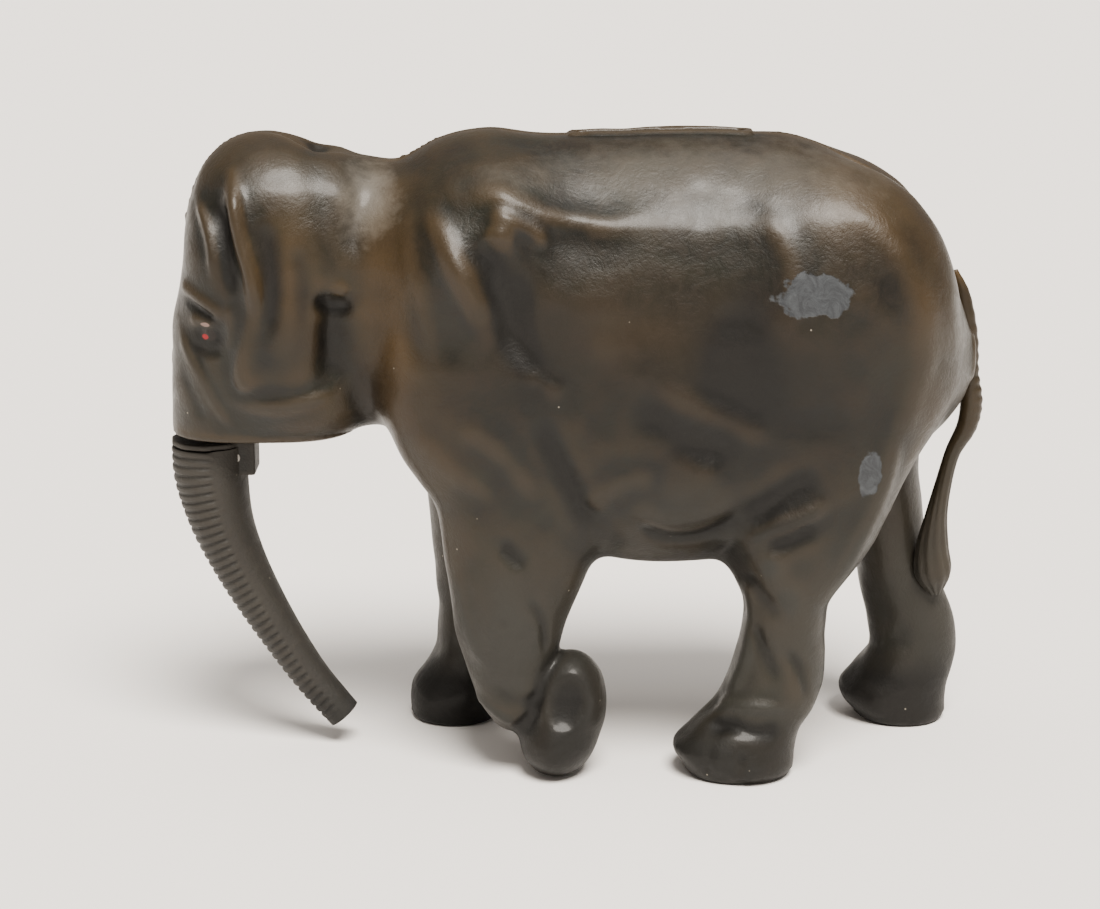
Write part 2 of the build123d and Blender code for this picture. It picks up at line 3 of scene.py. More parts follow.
import bmesh
import bpy
import numpy as np
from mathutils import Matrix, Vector


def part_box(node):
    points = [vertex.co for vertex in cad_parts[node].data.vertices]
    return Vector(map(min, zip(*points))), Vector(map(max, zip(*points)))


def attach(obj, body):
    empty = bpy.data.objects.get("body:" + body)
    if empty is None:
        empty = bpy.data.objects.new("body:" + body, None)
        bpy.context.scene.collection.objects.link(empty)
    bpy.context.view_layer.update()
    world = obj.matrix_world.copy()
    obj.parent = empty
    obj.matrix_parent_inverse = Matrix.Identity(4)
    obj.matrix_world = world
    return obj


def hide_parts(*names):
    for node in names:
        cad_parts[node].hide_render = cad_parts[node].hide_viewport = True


# Cast elephant coin bank: two soldered halves, a ringed trunk that nods, a cast tail and a trap door.
# The sculpted shapes are worked out in millimetres and put into Blender in metres.

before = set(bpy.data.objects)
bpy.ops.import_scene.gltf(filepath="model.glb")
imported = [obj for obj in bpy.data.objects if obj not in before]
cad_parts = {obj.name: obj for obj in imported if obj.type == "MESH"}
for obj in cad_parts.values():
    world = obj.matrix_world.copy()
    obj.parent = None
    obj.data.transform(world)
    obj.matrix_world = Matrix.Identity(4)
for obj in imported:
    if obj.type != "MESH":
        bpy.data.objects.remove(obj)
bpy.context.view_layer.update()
mm = 0.001


def boxOf(node):
    low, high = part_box(node)
    return [v / mm for v in low], [v / mm for v in high]


trapLow, trapHigh = boxOf("trap_frame")
trapX = (trapLow[0] + trapHigh[0]) / 2
collarTop = boxOf("trunk_casting")[1][2]
pinLow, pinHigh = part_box("trunk_pivot_pin")
pivotX, pivotZ = [(pinLow[c] + pinHigh[c]) / 2 / mm for c in (0, 2)]


# small tools
def smoothRows(rows, count=500):
    # a table of rows (key, value, ...) read along a smooth line through them
    rows = np.array(rows, float)
    key, value = rows[:, 0], rows[:, 1:]
    slope = np.gradient(value, key, axis=0)
    fine = np.linspace(key[0], key[-1], count)
    at = np.clip(np.searchsorted(key, fine) - 1, 0, len(key) - 2)
    gap = (key[at + 1] - key[at])[:, None]
    t = (fine - key[at])[:, None] / gap
    line = (
        value[at] * (2 * t**3 - 3 * t**2 + 1)
        + slope[at] * gap * (t**3 - 2 * t**2 + t)
        + value[at + 1] * (3 * t**2 - 2 * t**3)
        + slope[at + 1] * gap * (t**3 - t**2)
    )
    return lambda k: [np.interp(k, fine, line[:, c]) for c in range(line.shape[1])]


def smoothLine(points, steps, closed=False):
    # a smooth line through points
    p = np.array(points, float)
    p = np.vstack([p[-1], p, p[0], p[1]]) if closed else np.vstack([2 * p[0] - p[1], p, 2 * p[-1] - p[-2]])
    out = []
    for a, b, c, d in zip(p, p[1:], p[2:], p[3:]):
        for t in np.arange(steps) / steps:
            out.append(
                0.5 * (2 * b + (c - a) * t + (2 * a - 5 * b + 4 * c - d) * t**2 + (3 * b - a - 3 * c + d) * t**3)
            )
    if not closed:
        out.append(p[-2])
    return np.array(out)


def spread(axes, side=1):
    # three grid axes, shaped so that they fill a block together
    return axes[0][:, None, None], axes[1][None, :, None] * side, axes[2][None, None, :]


def spot(x, z, row):
    # a rounded patch: strength, middle X and Z, reach along X and Z
    amount, cx, cz, rx, rz = row
    return amount * np.exp(-(((x - cx) / rx) ** 2) - ((z - cz) / rz) ** 2)


def ramp(low, high, v):
    t = np.clip((v - low) / (high - low), 0, 1)
    return t * t * (3 - 2 * t)


def joinSmooth(a, b, k):
    h = np.clip(0.5 + 0.5 * (b - a) / k, 0, 1)
    return b + (a - b) * h - k * h * (1 - h)


def cutSmooth(a, b, k):
    return -joinSmooth(-a, -b, k)


def outlineDistance(x, z, line):
    # signed distance to a closed outline, below zero inside it
    best = np.full(x.shape, 1e9)
    inside = np.zeros(x.shape, bool)
    for (ax, az), (bx, bz) in zip(line, np.roll(line, -1, axis=0)):
        t = np.clip(((x - ax) * (bx - ax) + (z - az) * (bz - az)) / ((bx - ax) ** 2 + (bz - az) ** 2 + 1e-9), 0, 1)
        best = np.minimum(best, (x - ax - t * (bx - ax)) ** 2 + (z - az - t * (bz - az)) ** 2)
        crosses = ((az > z) != (bz > z)) & (x < (bx - ax) * (z - az) / (bz - az + 1e-12) + ax)
        inside ^= crosses
    return np.where(inside, -1, 1) * np.sqrt(best)


# the sculpted body: a distance field on a grid for each half
body = dict(
    pitch=0.6,  # grid spacing
    wall=2.0,
    solidFeet=9.0,  # cast solid up to here
    headBase=56.5,
    headFloor=2.0,
    slot=(0.5, 28.5),
    slotWidth=3.2,
    slotLip=0.55,
    slotBorder=1.7,
    wellHalf=(11.0, 10.0),
    wellWall=3.4,
    seatHalf=(11.85, 10.85),
    seatDepth=1.45,
    bossRadius=2.6,
    bossStart=1.6,
    hangerHalf=(5.3, 1.6),
    hangerTop=60,
    headRear=-37.5,
    legSquare=2.15,  # how square the legs' sections are, 2 being oval
    liftedStump=9.4,  # the left foreleg ends here
)

# along X: top of the back, belly, half width
torsoRows = smoothRows([
    (-48, 98, 63, 11.5),
    (-42, 104.2, 59, 13.5),
    (-36, 104.1, 58, 15.2),
    (-30, 103.7, 57, 18.2),
    (-23, 107.2, 51.5, 21.5),
    (-16, 108.7, 45.5, 23.3),
    (-7, 108, 41, 24.4),
    (5, 108.2, 37.2, 25),
    (16, 108.5, 35.2, 25.2),
    (28, 108.2, 34.8, 25),
    (37, 107.7, 37, 24.6),
    (44, 104.9, 40.5, 23.2),
    (51, 99.7, 46, 20.6),
    (57, 93.4, 52, 17.2),
    (62, 86.2, 57.5, 13.2),
    (65.6, 79, 63, 8.5),
    (67.6, 73, 67, 3.5),
])
# up Z: front, rear, half width of the face and skull
faceRows = smoothRows([
    (54, -69.2, -43.5, 10.8),
    (57.5, -69.3, -40.4, 11.8),
    (61, -69.3, -35.5, 13),
    (66, -69.3, -34, 14.4),
    (71, -69, -33.6, 14.8),
    (76, -68.9, -33.4, 14.2),
    (81, -67.7, -33.6, 14),
    (86, -66.6, -34.5, 14.2),
    (91, -65.5, -37, 14),
    (95, -64.3, -40, 13.2),
    (99, -62.4, -42, 11.4),
])
# up Z: front, rear, middle Y away from the centre plane, half width
hindLeft = smoothRows([
    (-1, 20.8, 36.4, 15.6, 8),
    (0, 19.6, 36.9, 15.6, 8.6),
    (2, 18.4, 37.6, 15.6, 9.2),
    (4.8, 16.9, 38, 15.6, 9.3),
    (8, 19.6, 38.6, 15.6, 8.9),
    (12.6, 23.9, 41.2, 15.5, 8),
    (17, 26.2, 42.5, 15.4, 7.6),
    (21.5, 27.6, 42.9, 15.3, 7.6),
    (26, 28.6, 43, 15.2, 8),
    (30.4, 28.7, 43.4, 15, 8.5),
    (34, 27.2, 45.8, 14.8, 9),
    (38, 25.6, 49.2, 14.4, 9.6),
    (43, 25.6, 52, 14, 10.2),
    (49, 27, 54.6, 13, 10.6),
    (58, 29.5, 58.5, 12, 10.6),
    (70, 33, 61, 10.5, 9.6),
    (78, 37, 58, 9, 7.6),
])
hindRight = smoothRows([
    (-1, 53.6, 67, 15.6, 8),
    (0, 52.4, 67.4, 15.6, 8.6),
    (3, 49.4, 67.8, 15.6, 9.2),
    (6, 48.6, 68.2, 15.6, 9.2),
    (9, 51, 69, 15.5, 8.6),
    (13, 53.8, 69.6, 15.4, 8),
    (18, 53.4, 69, 15.4, 7.7),
    (24, 52, 66.8, 15.2, 7.7),
    (29, 51.2, 64.8, 15, 8),
    (34, 50, 63.4, 14.6, 8.5),
    (40, 46.4, 62.6, 14.2, 9.2),
    (48, 42, 61.6, 13.2, 9.8),
    (58, 38, 62, 12, 10.2),
    (70, 37, 61.5, 10.5, 9.4),
    (78, 39, 58, 9, 7.6),
])
foreLeft = smoothRows([
    (9, -13.4, -5.6, 14.6, 5.2),
    (12, -15.4, -4.6, 14.6, 6.2),
    (15, -17.2, -3.8, 14.7, 7),
    (20, -18.8, -3, 15, 7.5),
    (26, -20.4, -1.6, 15.2, 7.9),
    (32, -21.3, 0.8, 15.2, 8.5),
    (38, -22.2, 3.2, 15, 9.1),
    (44, -23, 4.2, 14.6, 9.6),
    (50, -24.4, 3.6, 14, 10),
    (57, -28, 2.4, 13.2, 10.4),
    (64, -30.6, 1.2, 12.4, 10.6),
    (74, -30, -1, 11.5, 10.4),
    (84, -27.5, -3.5, 9.5, 9),
])
foreRight = smoothRows([
    (-1, -28, -14.6, 15.6, 8),
    (0, -28.9, -13.8, 15.6, 8.5),
    (3, -29.8, -13, 15.6, 9),
    (6, -29.4, -12.8, 15.6, 8.8),
    (9, -27.2, -13, 15.6, 8),
    (12.5, -25.2, -13.2, 15.5, 7.4),
    (20, -24.4, -12.8, 15.3, 7.4),
    (29, -24.8, -11.4, 15, 8),
    (40, -25.8, -8, 14.6, 9),
    (50, -27.4, -4, 14, 9.8),
    (57, -29.2, -1, 13.2, 10.2),
    (64, -30.6, 1, 12.4, 10.4),
    (74, -30, -1, 11.5, 10.2),
    (84, -27.5, -3.5, 9.5, 9),
])
# rounded masses on both sides: X, Y, Z, radii, turn about Y in degrees, softness of the join
masses = [
    (-52.6, 0, 91.5, 13.2, 14, 16.8, -8, 3),  # skull
    (-54, 7, 84, 10.5, 9.2, 15, 0, 4),  # temple under the ear
    (-46, 6, 64.6, 11, 9.5, 8, 12, 4),  # jaw
    (-15, 13.5, 84, 12.5, 9.6, 20, 16, 7),  # shoulder blade
    (-17, 12.5, 64, 14.5, 11.4, 17, -6, 6),  # upper arm
    (12, 12, 60, 26, 13.2, 22, 0, 8),  # belly
    (43.5, 11.5, 76, 19.5, 12.4, 24, -12, 7),  # haunch
    (38.5, 13, 52, 13.5, 10.6, 13.5, -30, 6),  # thigh
    (47, 8, 84, 16, 13.5, 18.5, -18, 6),  # rump
    (57.4, 2, 70, 10.8, 7.6, 13, -4, 4),  # under the tail root
]
# the lifted left forefoot, with its sole turned back: X, Y, Z, radii, turn
liftedFoot = [
    (-9, 14.8, 13.2, 6.2, 6.4, 6.4, 0, 3),
    (-1.2, 16.4, 12, 6.8, 7.9, 9.6, 8, 1.6),
    (-3.2, 17, 5.8, 6.2, 7.9, 6, 0, 2.4),
]
soleHollow = (-1.4, 26.2, 15.8, 6, 4.6, 6.9, 12)
ear = dict(
    outline=[
        (-55.2, 102), (-56.6, 97.6), (-55.6, 90.8), (-54.8, 84.8), (-55.8, 77.2), (-57.2, 69.5), (-55.6, 66.4),
        (-51.2, 66.9), (-46.6, 67.6), (-43.9, 69.2), (-42.6, 74), (-42.2, 79.2), (-41.2, 83), (-38.2, 84.6),
        (-36.8, 88.4), (-38, 93.2), (-38.8, 99), (-41.4, 103), (-47.5, 104.6),
    ],
    # up Z: how far out the flap's face stands
    standOff=[
        (60, 16.2), (68, 16.5), (76, 17), (84, 17.2), (90, 16.8), (95, 15.8), (99, 14), (103, 11.2), (108, 7),
    ],
    rearDrop=1.7,
)


def ellipsoid(x, y, z, shape):
    cx, cy, cz, rx, ry, rz, turn = shape[:7]
    c, s = math.cos(math.radians(turn)), math.sin(math.radians(turn))
    dx, dz = x - cx, z - cz
    u, v, w = (dx * c - dz * s) / rx, (y - cy) / ry, (dx * s + dz * c) / rz
    near = np.sqrt(u * u + v * v + w * w) + 1e-6
    return near * (near - 1) / (np.sqrt((u / rx) ** 2 + (v / ry) ** 2 + (w / rz) ** 2) + 1e-6)


def upright(x, y, z, rows, square):
    # sections lying flat, given up Z
    values = [v.reshape(z.shape) for v in rows(z.ravel())]
    if len(values) == 3:
        values.insert(2, 0)
    front, rear, middle, half = values
    rx = (rear - front) / 2
    u, v = np.abs((x - (front + rear) / 2) / rx), np.abs((y - middle) / half)
    near = (u**square + v**square) ** (1 / square) + 1e-6
    steep = np.sqrt((u / rx) ** 2 + (v / half) ** 2) / near
    return (near - 1) / (steep + 1e-4)


def barrel(x, y, z):
    # the torso: sections standing across X, fuller low on the flank
    top, low, half = [v.reshape(x.shape) for v in torsoRows(x.ravel())]
    rz, cz = (top - low) / 2, (top + low) / 2
    u, v = np.abs(y) / half, (z - cz) / rz
    near = (u**2.25 + np.abs(v) ** 2.25) ** (1 / 2.25) + 1e-6
    steep = np.sqrt((u / half) ** 2 + (v / rz) ** 2) / near
    ends = np.maximum(-47.5 - x, x - 67.4)
    return np.maximum((near - 1) / (steep + 1e-4), ends)


def gridPart(axes, low, high, margin):
    # the part of the grid that a shape reaches
    return tuple(
        slice(max(np.searchsorted(a, l - margin), 0), np.searchsorted(a, h + margin))
        for a, l, h in zip(axes, low, high)
    )


def outerField(axes, side):
    ax, ay, az = axes
    x, y, z = spread(axes, side)
    wide = np.abs(y)
    field = np.full((len(ax), len(ay), len(az)), 30.0, np.float32)

    def add(low, high, shape, k):
        margin = 7.0
        part = gridPart(axes, low, high, margin)
        if side < 0:
            part = gridPart(axes, (low[0], -high[1], low[2]), (high[0], max(-low[1], 0), high[2]), margin)
        field[part] = joinSmooth(field[part], shape(*spread([a[p] for a, p in zip(axes, part)], side)), k)

    def foreleg(a, b, c):
        return cutSmooth(cutSmooth(upright(a, b, c, legs[0], body["legSquare"]), c - 82, 6.0), stump - c, 3.0)

    def hindleg(a, b, c):
        return cutSmooth(upright(a, b, c, legs[1], body["legSquare"]), c - 76, 6.0)

    def face(a, b, c):
        return cutSmooth(upright(a, np.abs(b), c, faceRows, 2.4), c - 97, 4.0)

    field[:] = np.minimum(field, barrel(x, y, z))
    add((-70, -20, 54), (-33, 20, 99), face, 3.0)
    for m in masses:
        reach = max(m[3], m[5])
        low, high = (m[0] - reach, 0, m[2] - reach), (m[0] + reach, m[1] + m[4], m[2] + reach)
        add(low, high, lambda a, b, c: ellipsoid(a, np.abs(b), c, m), m[7])
    legs = (foreLeft, hindLeft) if side < 0 else (foreRight, hindRight)
    stump = body["liftedStump"] if side < 0 else -2.0
    add((-32, 3, stump), (5, 26, 84), foreleg, 4.0)
    hindBox = ((17, 3, 0), (62, 26, 78)) if side < 0 else ((36, 3, 0), (70, 26, 78))
    add(*hindBox, hindleg, 4.0)
    if side < 0:
        for m in liftedFoot:
            low, high = (m[0] - 11, m[1] - 8, m[2] - 11), (m[0] + 11, m[1] + 8, m[2] + 11)
            add(low, high, lambda a, b, c: ellipsoid(a, b, c, m), m[7])
        # the hollow of its sole, with a thin rim round it
        part = gridPart(axes, (-5, -29, 6), (7, -16, 23), 3)
        hollow = ellipsoid(*spread([a[p] for a, p in zip(axes, part)], side), soleHollow)
        field[part] = cutSmooth(field[part], -hollow, 0.6)
    # the ear flap lies back against the neck
    line = smoothLine(ear["outline"], 5, True)
    flatX, flatZ = np.meshgrid(ax, az, indexing="ij")
    flap = outlineDistance(flatX, flatZ, line)[:, None, :]
    out = smoothRows(ear["standOff"])(az)[0][None, None, :]
    # its rear edge lies lower than its front, and its top runs out into the crown
    out = out - ear["rearDrop"] * ramp(-47.5, -37.5, x)
    flapField = cutSmooth(cutSmooth(flap + 0 * wide, wide - out, 2.6), 6.0 - wide, 0.3)
    softness = 1.5 + 1.3 * ramp(-52, -43, x) * ramp(92, 84, z) + 5.0 * ramp(91, 101, z)
    field = joinSmooth(field, flapField, softness).astype(np.float32)
    # flat under the trunk joint and under the feet
    underHead = (x < body["headRear"]) & (z < 62)
    field = np.where(underHead, cutSmooth(field, body["headBase"] - z, 0.8), field)
    return cutSmooth(field, -z, 0.9)


def halfFields(side):
    step = body["pitch"]
    ax = np.arange(-72.6, 72.61, step)
    ay = np.sort(np.arange(-2 * step, 28.8, step) * side)
    az = np.arange(-1.2, 111.01, step)
    axes = (ax, ay, az)
    outer = outerField(axes, side)
    x, y, z = spread(axes)
    wide = np.abs(y)

    def block(middle, half, grow=0):
        # an upright block with that middle along X
        return np.maximum(np.abs(x - middle) - half[0] - grow, wide - half[1] - grow)

    hollow = np.maximum(outer + body["wall"], body["solidFeet"] - z)
    hollow = np.where(x < body["headRear"], np.maximum(hollow, body["headBase"] + body["headFloor"] - z), hollow)
    shell = np.maximum(outer, -hollow)
    # cast fittings inside: the wall round the trap's well and the bosses for the trunk's pivot
    wellBlock = np.maximum(block(trapX, body["wellHalf"], body["wellWall"]), z - trapHigh[2])
    shell = np.minimum(shell, np.maximum(wellBlock, outer))
    boss = np.sqrt((x - pivotX) ** 2 + (z - pivotZ) ** 2) - body["bossRadius"]
    shell = np.minimum(shell, np.maximum(np.maximum(boss, body["bossStart"] - wide), outer))
    # the coin slot's raised lip, then what is cut away
    slotX = (body["slot"][0] + body["slot"][1]) / 2
    slotHalf = ((body["slot"][1] - body["slot"][0]) / 2, body["slotWidth"] / 2)
    lip = cutSmooth(block(slotX, slotHalf, body["slotBorder"]) + 0 * z, outer - body["slotLip"], 0.5)
    lip = np.maximum(lip, 100 - z)
    shell = joinSmooth(shell, np.maximum(lip, -hollow), 0.3)
    wellTop = z - trapHigh[2] - 5
    slotCut = np.maximum(block(slotX, slotHalf), 95 - z)
    well = np.maximum(block(trapX, body["wellHalf"]), wellTop)
    seat = np.maximum(block(trapX, body["seatHalf"]), wellTop)
    seat = np.maximum(seat, trapHigh[2] - body["seatDepth"] - z)
    hanger = np.maximum(block(pivotX, body["hangerHalf"]), z - body["hangerTop"])
    for cut in (slotCut, well, seat, hanger):
        shell = np.maximum(shell, -cut)
    shell = np.maximum(shell, -side * y + 0.01)
    return axes, outer, shell.astype(np.float32)


def netMesh(axes, field):
    # one point in each grid cell that the surface crosses, and one face round each crossed grid edge
    shape = np.array(field.shape)
    cellShape = shape - 1
    flat = lambda i, j, k: (i * cellShape[1] + j) * cellShape[2] + k
    sums = np.zeros((int(np.prod(cellShape)), 3))
    count = np.zeros(int(np.prod(cellShape)))
    inside = field < 0
    faces = []
    for axis in range(3):
        a = [slice(None)] * 3
        b = [slice(None)] * 3
        a[axis], b[axis] = slice(0, -1), slice(1, None)
        crossed = inside[tuple(a)] != inside[tuple(b)]
        idx = np.array(np.nonzero(crossed))
        fa = field[tuple(a)][crossed].astype(float)
        fb = field[tuple(b)][crossed].astype(float)
        t = fa / (fa - fb)
        point = [np.asarray(axes[c])[idx[c]].astype(float) for c in range(3)]
        point[axis] = point[axis] + t * (axes[axis][1] - axes[axis][0])
        point = np.stack(point, axis=1)
        u, v = [(1, 2), (2, 0), (0, 1)][axis]
        corner = []
        fits = np.ones(idx.shape[1], bool)
        for du, dv in ((-1, -1), (0, -1), (0, 0), (-1, 0)):
            cell = idx.copy()
            cell[u] += du
            cell[v] += dv
            fits &= np.all((cell >= 0) & (cell < cellShape[:, None]), axis=0)
            corner.append(cell)
        corner = [flat(*c[:, fits]) for c in corner]
        point, fa = point[fits], fa[fits]
        for c in corner:
            for k in range(3):
                sums[:, k] += np.bincount(c, weights=point[:, k], minlength=len(count))
            count += np.bincount(c, minlength=len(count))
        quad = np.stack(corner, axis=1)
        faces.append(np.where((fa < 0)[:, None], quad, quad[:, ::-1]))
    used = count > 0
    number = np.cumsum(used) - 1
    points = sums[used] / count[used][:, None]
    return points, number[np.concatenate(faces)]


def sample(axes, field, points):
    # field values between the grid points
    at, part = [], []
    for c in range(3):
        g = (points[:, c] - axes[c][0]) / (axes[c][1] - axes[c][0])
        i = np.clip(g.astype(int), 0, len(axes[c]) - 2)
        at.append(i)
        part.append(np.clip(g - i, 0, 1))
    out = 0
    for i in (0, 1):
        for j in (0, 1):
            for k in (0, 1):
                w = (part[0] if i else 1 - part[0]) * (part[1] if j else 1 - part[1]) * (part[2] if k else 1 - part[2])
                out = out + w * field[at[0] + i, at[1] + j, at[2] + k]
    return out


def slopeOf(axes, field, points, step=0.6):
    out = np.zeros_like(points)
    for c in range(3):
        d = np.zeros(3)
        d[c] = step
        out[:, c] = sample(axes, field, points + d) - sample(axes, field, points - d)
    return out / (np.linalg.norm(out, axis=1)[:, None] + 1e-9)


# folds and muscles: lines and rounded spots on the side, each (height mm, width mm, points X Z)
bothSides = dict(
    ridges=[
        (1.2, 2.4, [(-19, 99.6), (-13.7, 100), (-9.2, 98.4), (-5, 96.6), (-0.5, 95.8), (5.7, 95), (12, 95.2)]),
        (0.5, 3.6, [(4, 95), (14, 95.6), (25, 95), (38, 94.5)]),
        (0.9, 1.3, [(-14.8, 97.4), (-11.2, 96.2), (-6.8, 94), (-4.3, 91.6)]),
        (1.2, 2.2, [(-24, 99), (-21, 92), (-17.2, 84.8), (-14.6, 78)]),
        (0.5, 2.2, [(-27.5, 101), (-27, 92), (-25, 82), (-23, 72)]),
        (0.9, 2.6, [(46, 99), (52, 92), (56, 84), (57.5, 74), (55, 63), (49, 52)]),
        (0.8, 2.2, [(8.5, 50.5), (13.6, 46.9), (20.8, 47.4), (27.6, 51.6)]),
        (1.7, 1.15, [(-56.9, 102.5), (-56, 96.5), (-54.7, 90.5), (-53.2, 85), (-52.6, 78)]),
        (0.8, 0.8, [(-63.2, 98), (-61.4, 94.5), (-60.2, 90), (-60, 85)]),
        (0.7, 1.1, [(-67, 84.4), (-64.3, 82.2), (-61, 80.6), (-57.6, 78.4)]),
        (0.6, 0.9, [(-67.2, 77.6), (-65.2, 72.5), (-62.6, 68), (-60.2, 63.4), (-57.6, 59)]),
        (0.5, 0.9, [(-64.8, 77.3), (-62.4, 78), (-59.4, 76.6)]),
        (0.5, 0.9, [(-57.6, 82), (-57.2, 77), (-57.8, 72.5)]),
        (0.7, 1.4, [(-58.5, 64.2), (-51, 63.6), (-45, 64.6), (-40, 66)]),
        (0.7, 2, [(0.8, 47), (4.7, 51), (9.1, 53.6), (14, 53.8)]),
        (0.5, 2.4, [(12, 70), (20, 66), (27, 62), (34, 60)]),
        (0.4, 2, [(31, 98), (35, 90), (36, 82)]),
    ],
    grooves=[
        (1.3, 2.8, [(-15, 94.6), (-14, 90), (-12.5, 84.8), (-9.9, 78), (-6, 71)]),
        (0.5, 4.4, [(26, 88), (29.4, 80), (31.4, 70), (29, 60)]),
        (0.8, 3.2, [(8, 66.6), (15.1, 63), (20.6, 59.8), (28.2, 56.4)]),
        (0.7, 1.3, [(10.4, 46.6), (15, 43.2), (21.4, 43.4), (28, 47.6)]),
        (1.1, 2.3, [(28.4, 45.6), (31.6, 48.6), (35.6, 51.6), (41.4, 54.6)]),
        (1, 2.1, [(-6.5, 64.5), (-3, 57), (0.2, 50.1), (2.9, 43.4)]),
        (0.9, 1.2, [(-59.3, 99), (-58.4, 94), (-57.4, 88), (-56.4, 82)]),
        (0.6, 0.9, [(-66, 82.4), (-62.8, 80), (-59.5, 78.2)]),
        (0.5, 0.9, [(-65, 74.2), (-61.9, 72.8), (-58.6, 73.4)]),
        (0.4, 1, [(-65.4, 75), (-62.9, 69.5), (-60.4, 64.8), (-58.6, 61)]),
        (0.3, 1, [(-66.8, 70), (-64.6, 65), (-62.6, 60)]),
        (0.8, 1.3, [(-43.6, 83.4), (-41.4, 81), (-39.2, 80.4), (-37, 82)]),
        (0.4, 2.8, [(-40.4, 80), (-39.6, 74), (-41.2, 68)]),
        (0.4, 3, [(-31.4, 90), (-32.4, 80), (-32, 72), (-30, 64)]),
        (0.7, 1.8, [(-51.8, 96), (-50.4, 90), (-50.2, 82), (-51.4, 73)]),
        (0.35, 1.6, [(-46.4, 92), (-45.2, 85), (-45.8, 76)]),
    ],
    spots=[
        (1.9, -12.3, 93.6, 2.4, 2.4),
        (0.8, -38.9, 83.6, 1.7, 1.3),
        (0.6, -48.5, 76, 3.5, 6),
        (0.9, -19, 88, 4.4, 7),
        (-1, -9.5, 84, 3.2, 5),
        (0.9, 2, 83, 8, 7),
        (-0.8, 24, 72, 5, 9),
        (0.9, 19, 51, 8, 4),
        (-1.5, -61.4, 75.6, 2.4, 1.7),
        (1.2, -61.6, 75.7, 1.1, 1),
    ],
)
leftOnly = dict(
    ridges=[
        (0.4, 1.4, [(-8.4, 71.1), (-5, 69.6), (-2, 67.2)]),
        (0.9, 1.5, [(27.2, 40.6), (32.4, 44.6), (37.4, 46.6), (43.2, 50.2)]),
        (0.6, 2.2, [(-19.9, 63.3), (-12.3, 57.4), (-5.6, 48.6)]),
        (0.5, 2, [(-27, 61.4), (-20.8, 54.8), (-12.7, 49)]),
        (0.6, 0.8, [(-17.2, 14.8), (-13.5, 12.2), (-9.6, 9.9)]),
        (0.9, 1.8, [(53, 62), (51.5, 52), (47.5, 42), (43, 32)]),
        (0.6, 1, [(28.4, 36), (29.6, 28), (28.6, 20), (25.4, 13.6)]),
        (0.7, 1.2, [(19.6, 8.6), (24.5, 12.4), (30.5, 13.4), (37, 12.8)]),
        (0.6, 1.3, [(-20.5, 38), (-18.4, 28), (-15.6, 19)]),
    ],
    grooves=[
        (0.7, 1.6, [(31.5, 41.2), (36, 43), (41, 45.8)]),
        (0.7, 2.2, [(24.6, 42), (27.4, 38.2), (29.4, 33)]),
        (0.6, 1.5, [(27.6, 36.6), (31.4, 32.9), (35.2, 28.4)]),
        (0.6, 1.2, [(29.3, 28.2), (31.7, 23.5), (34.8, 17.8)]),
        (0.6, 1.3, [(-12.6, 42.4), (-10.6, 40.6), (-8.4, 38)]),
        (0.5, 1.3, [(-14.6, 17.6), (-10.5, 14.6), (-7, 14.6), (-4.6, 17.6)]),
        (0.6, 1.2, [(-10.4, 8.4), (-7.6, 11.4), (-5.8, 16.2)]),
        (0.9, 1.5, [(21, 9), (26, 10.4), (31, 9.4), (36, 9.8)]),
        (0.4, 0.7, [(23.4, 6.6), (22.6, 4), (22.8, 1.6)]),
        (0.4, 0.7, [(28.4, 6.4), (28, 4), (28.2, 1.6)]),
        (0.5, 0.8, [(35.4, 24), (38, 20), (39.4, 14)]),
        (0.5, 0.8, [(-8, 33), (-5.4, 28), (-5, 22)]),
    ],
    spots=[
        (0.8, -12, 28, 5, 7),
        (-0.35, -12.1, 28.1, 1, 1),
        (0.8, 32.4, 38.4, 2.6, 3.2),
        (0.6, 35.4, 32.6, 2.8, 3.4),
        (-0.5, 24, 60, 5, 4),
        (0.5, 23, 4.5, 3, 2.4),
        (0.5, 29.4, 3.2, 3, 2.2),
    ],
)


def reliefHeight(x, z, marks):
    height = np.zeros(len(x))
    for sign, group in ((1, marks["ridges"]), (-1, marks["grooves"])):
        for amount, width, points in group:
            line = smoothLine(points, 6)
            low, high = line.min(0) - 3 * width, line.max(0) + 3 * width
            here = np.nonzero((x > low[0]) & (x < high[0]) & (z > low[1]) & (z < high[1]))[0]
            if not len(here):
                continue
            hx, hz = x[here], z[here]
            best, along = np.full(len(here), 1e9), np.zeros(len(here))
            total = len(line) - 1
            for n in range(total):
                (px, pz), (qx, qz) = line[n], line[n + 1]
                t = np.clip(((hx - px) * (qx - px) + (hz - pz) * (qz - pz)) / ((qx - px) ** 2 + (qz - pz) ** 2), 0, 1)
                d = (hx - px - t * (qx - px)) ** 2 + (hz - pz - t * (qz - pz)) ** 2
                closer = d < best
                best[closer], along[closer] = d[closer], (n + t[closer]) / total
            fade = ramp(0, 0.25, along) * ramp(0, 0.25, 1 - along)
            height[here] += sign * amount * np.exp(-best / width**2) * (0.15 + 0.85 * fade)
    for row in marks["spots"]:
        height += spot(x, z, row)
    return height


def lumpsOf(p, size, seed):
    # slow unevenness of a hand-finished casting, about size mm across
    lattice = np.random.RandomState(seed).normal(size=(40, 40, 40))
    g = p / size + 1000.0
    base = np.floor(g).astype(int)
    t = g - base
    t = t * t * (3 - 2 * t)
    out = np.zeros(len(p))
    for i in (0, 1):
        for j in (0, 1):
            for k in (0, 1):
                w = (t[:, 0] if i else 1 - t[:, 0]) * (t[:, 1] if j else 1 - t[:, 1]) * (t[:, 2] if k else 1 - t[:, 2])
                out += w * lattice[(base[:, 0] + i) % 40, (base[:, 1] + j) % 40, (base[:, 2] + k) % 40]
    return out


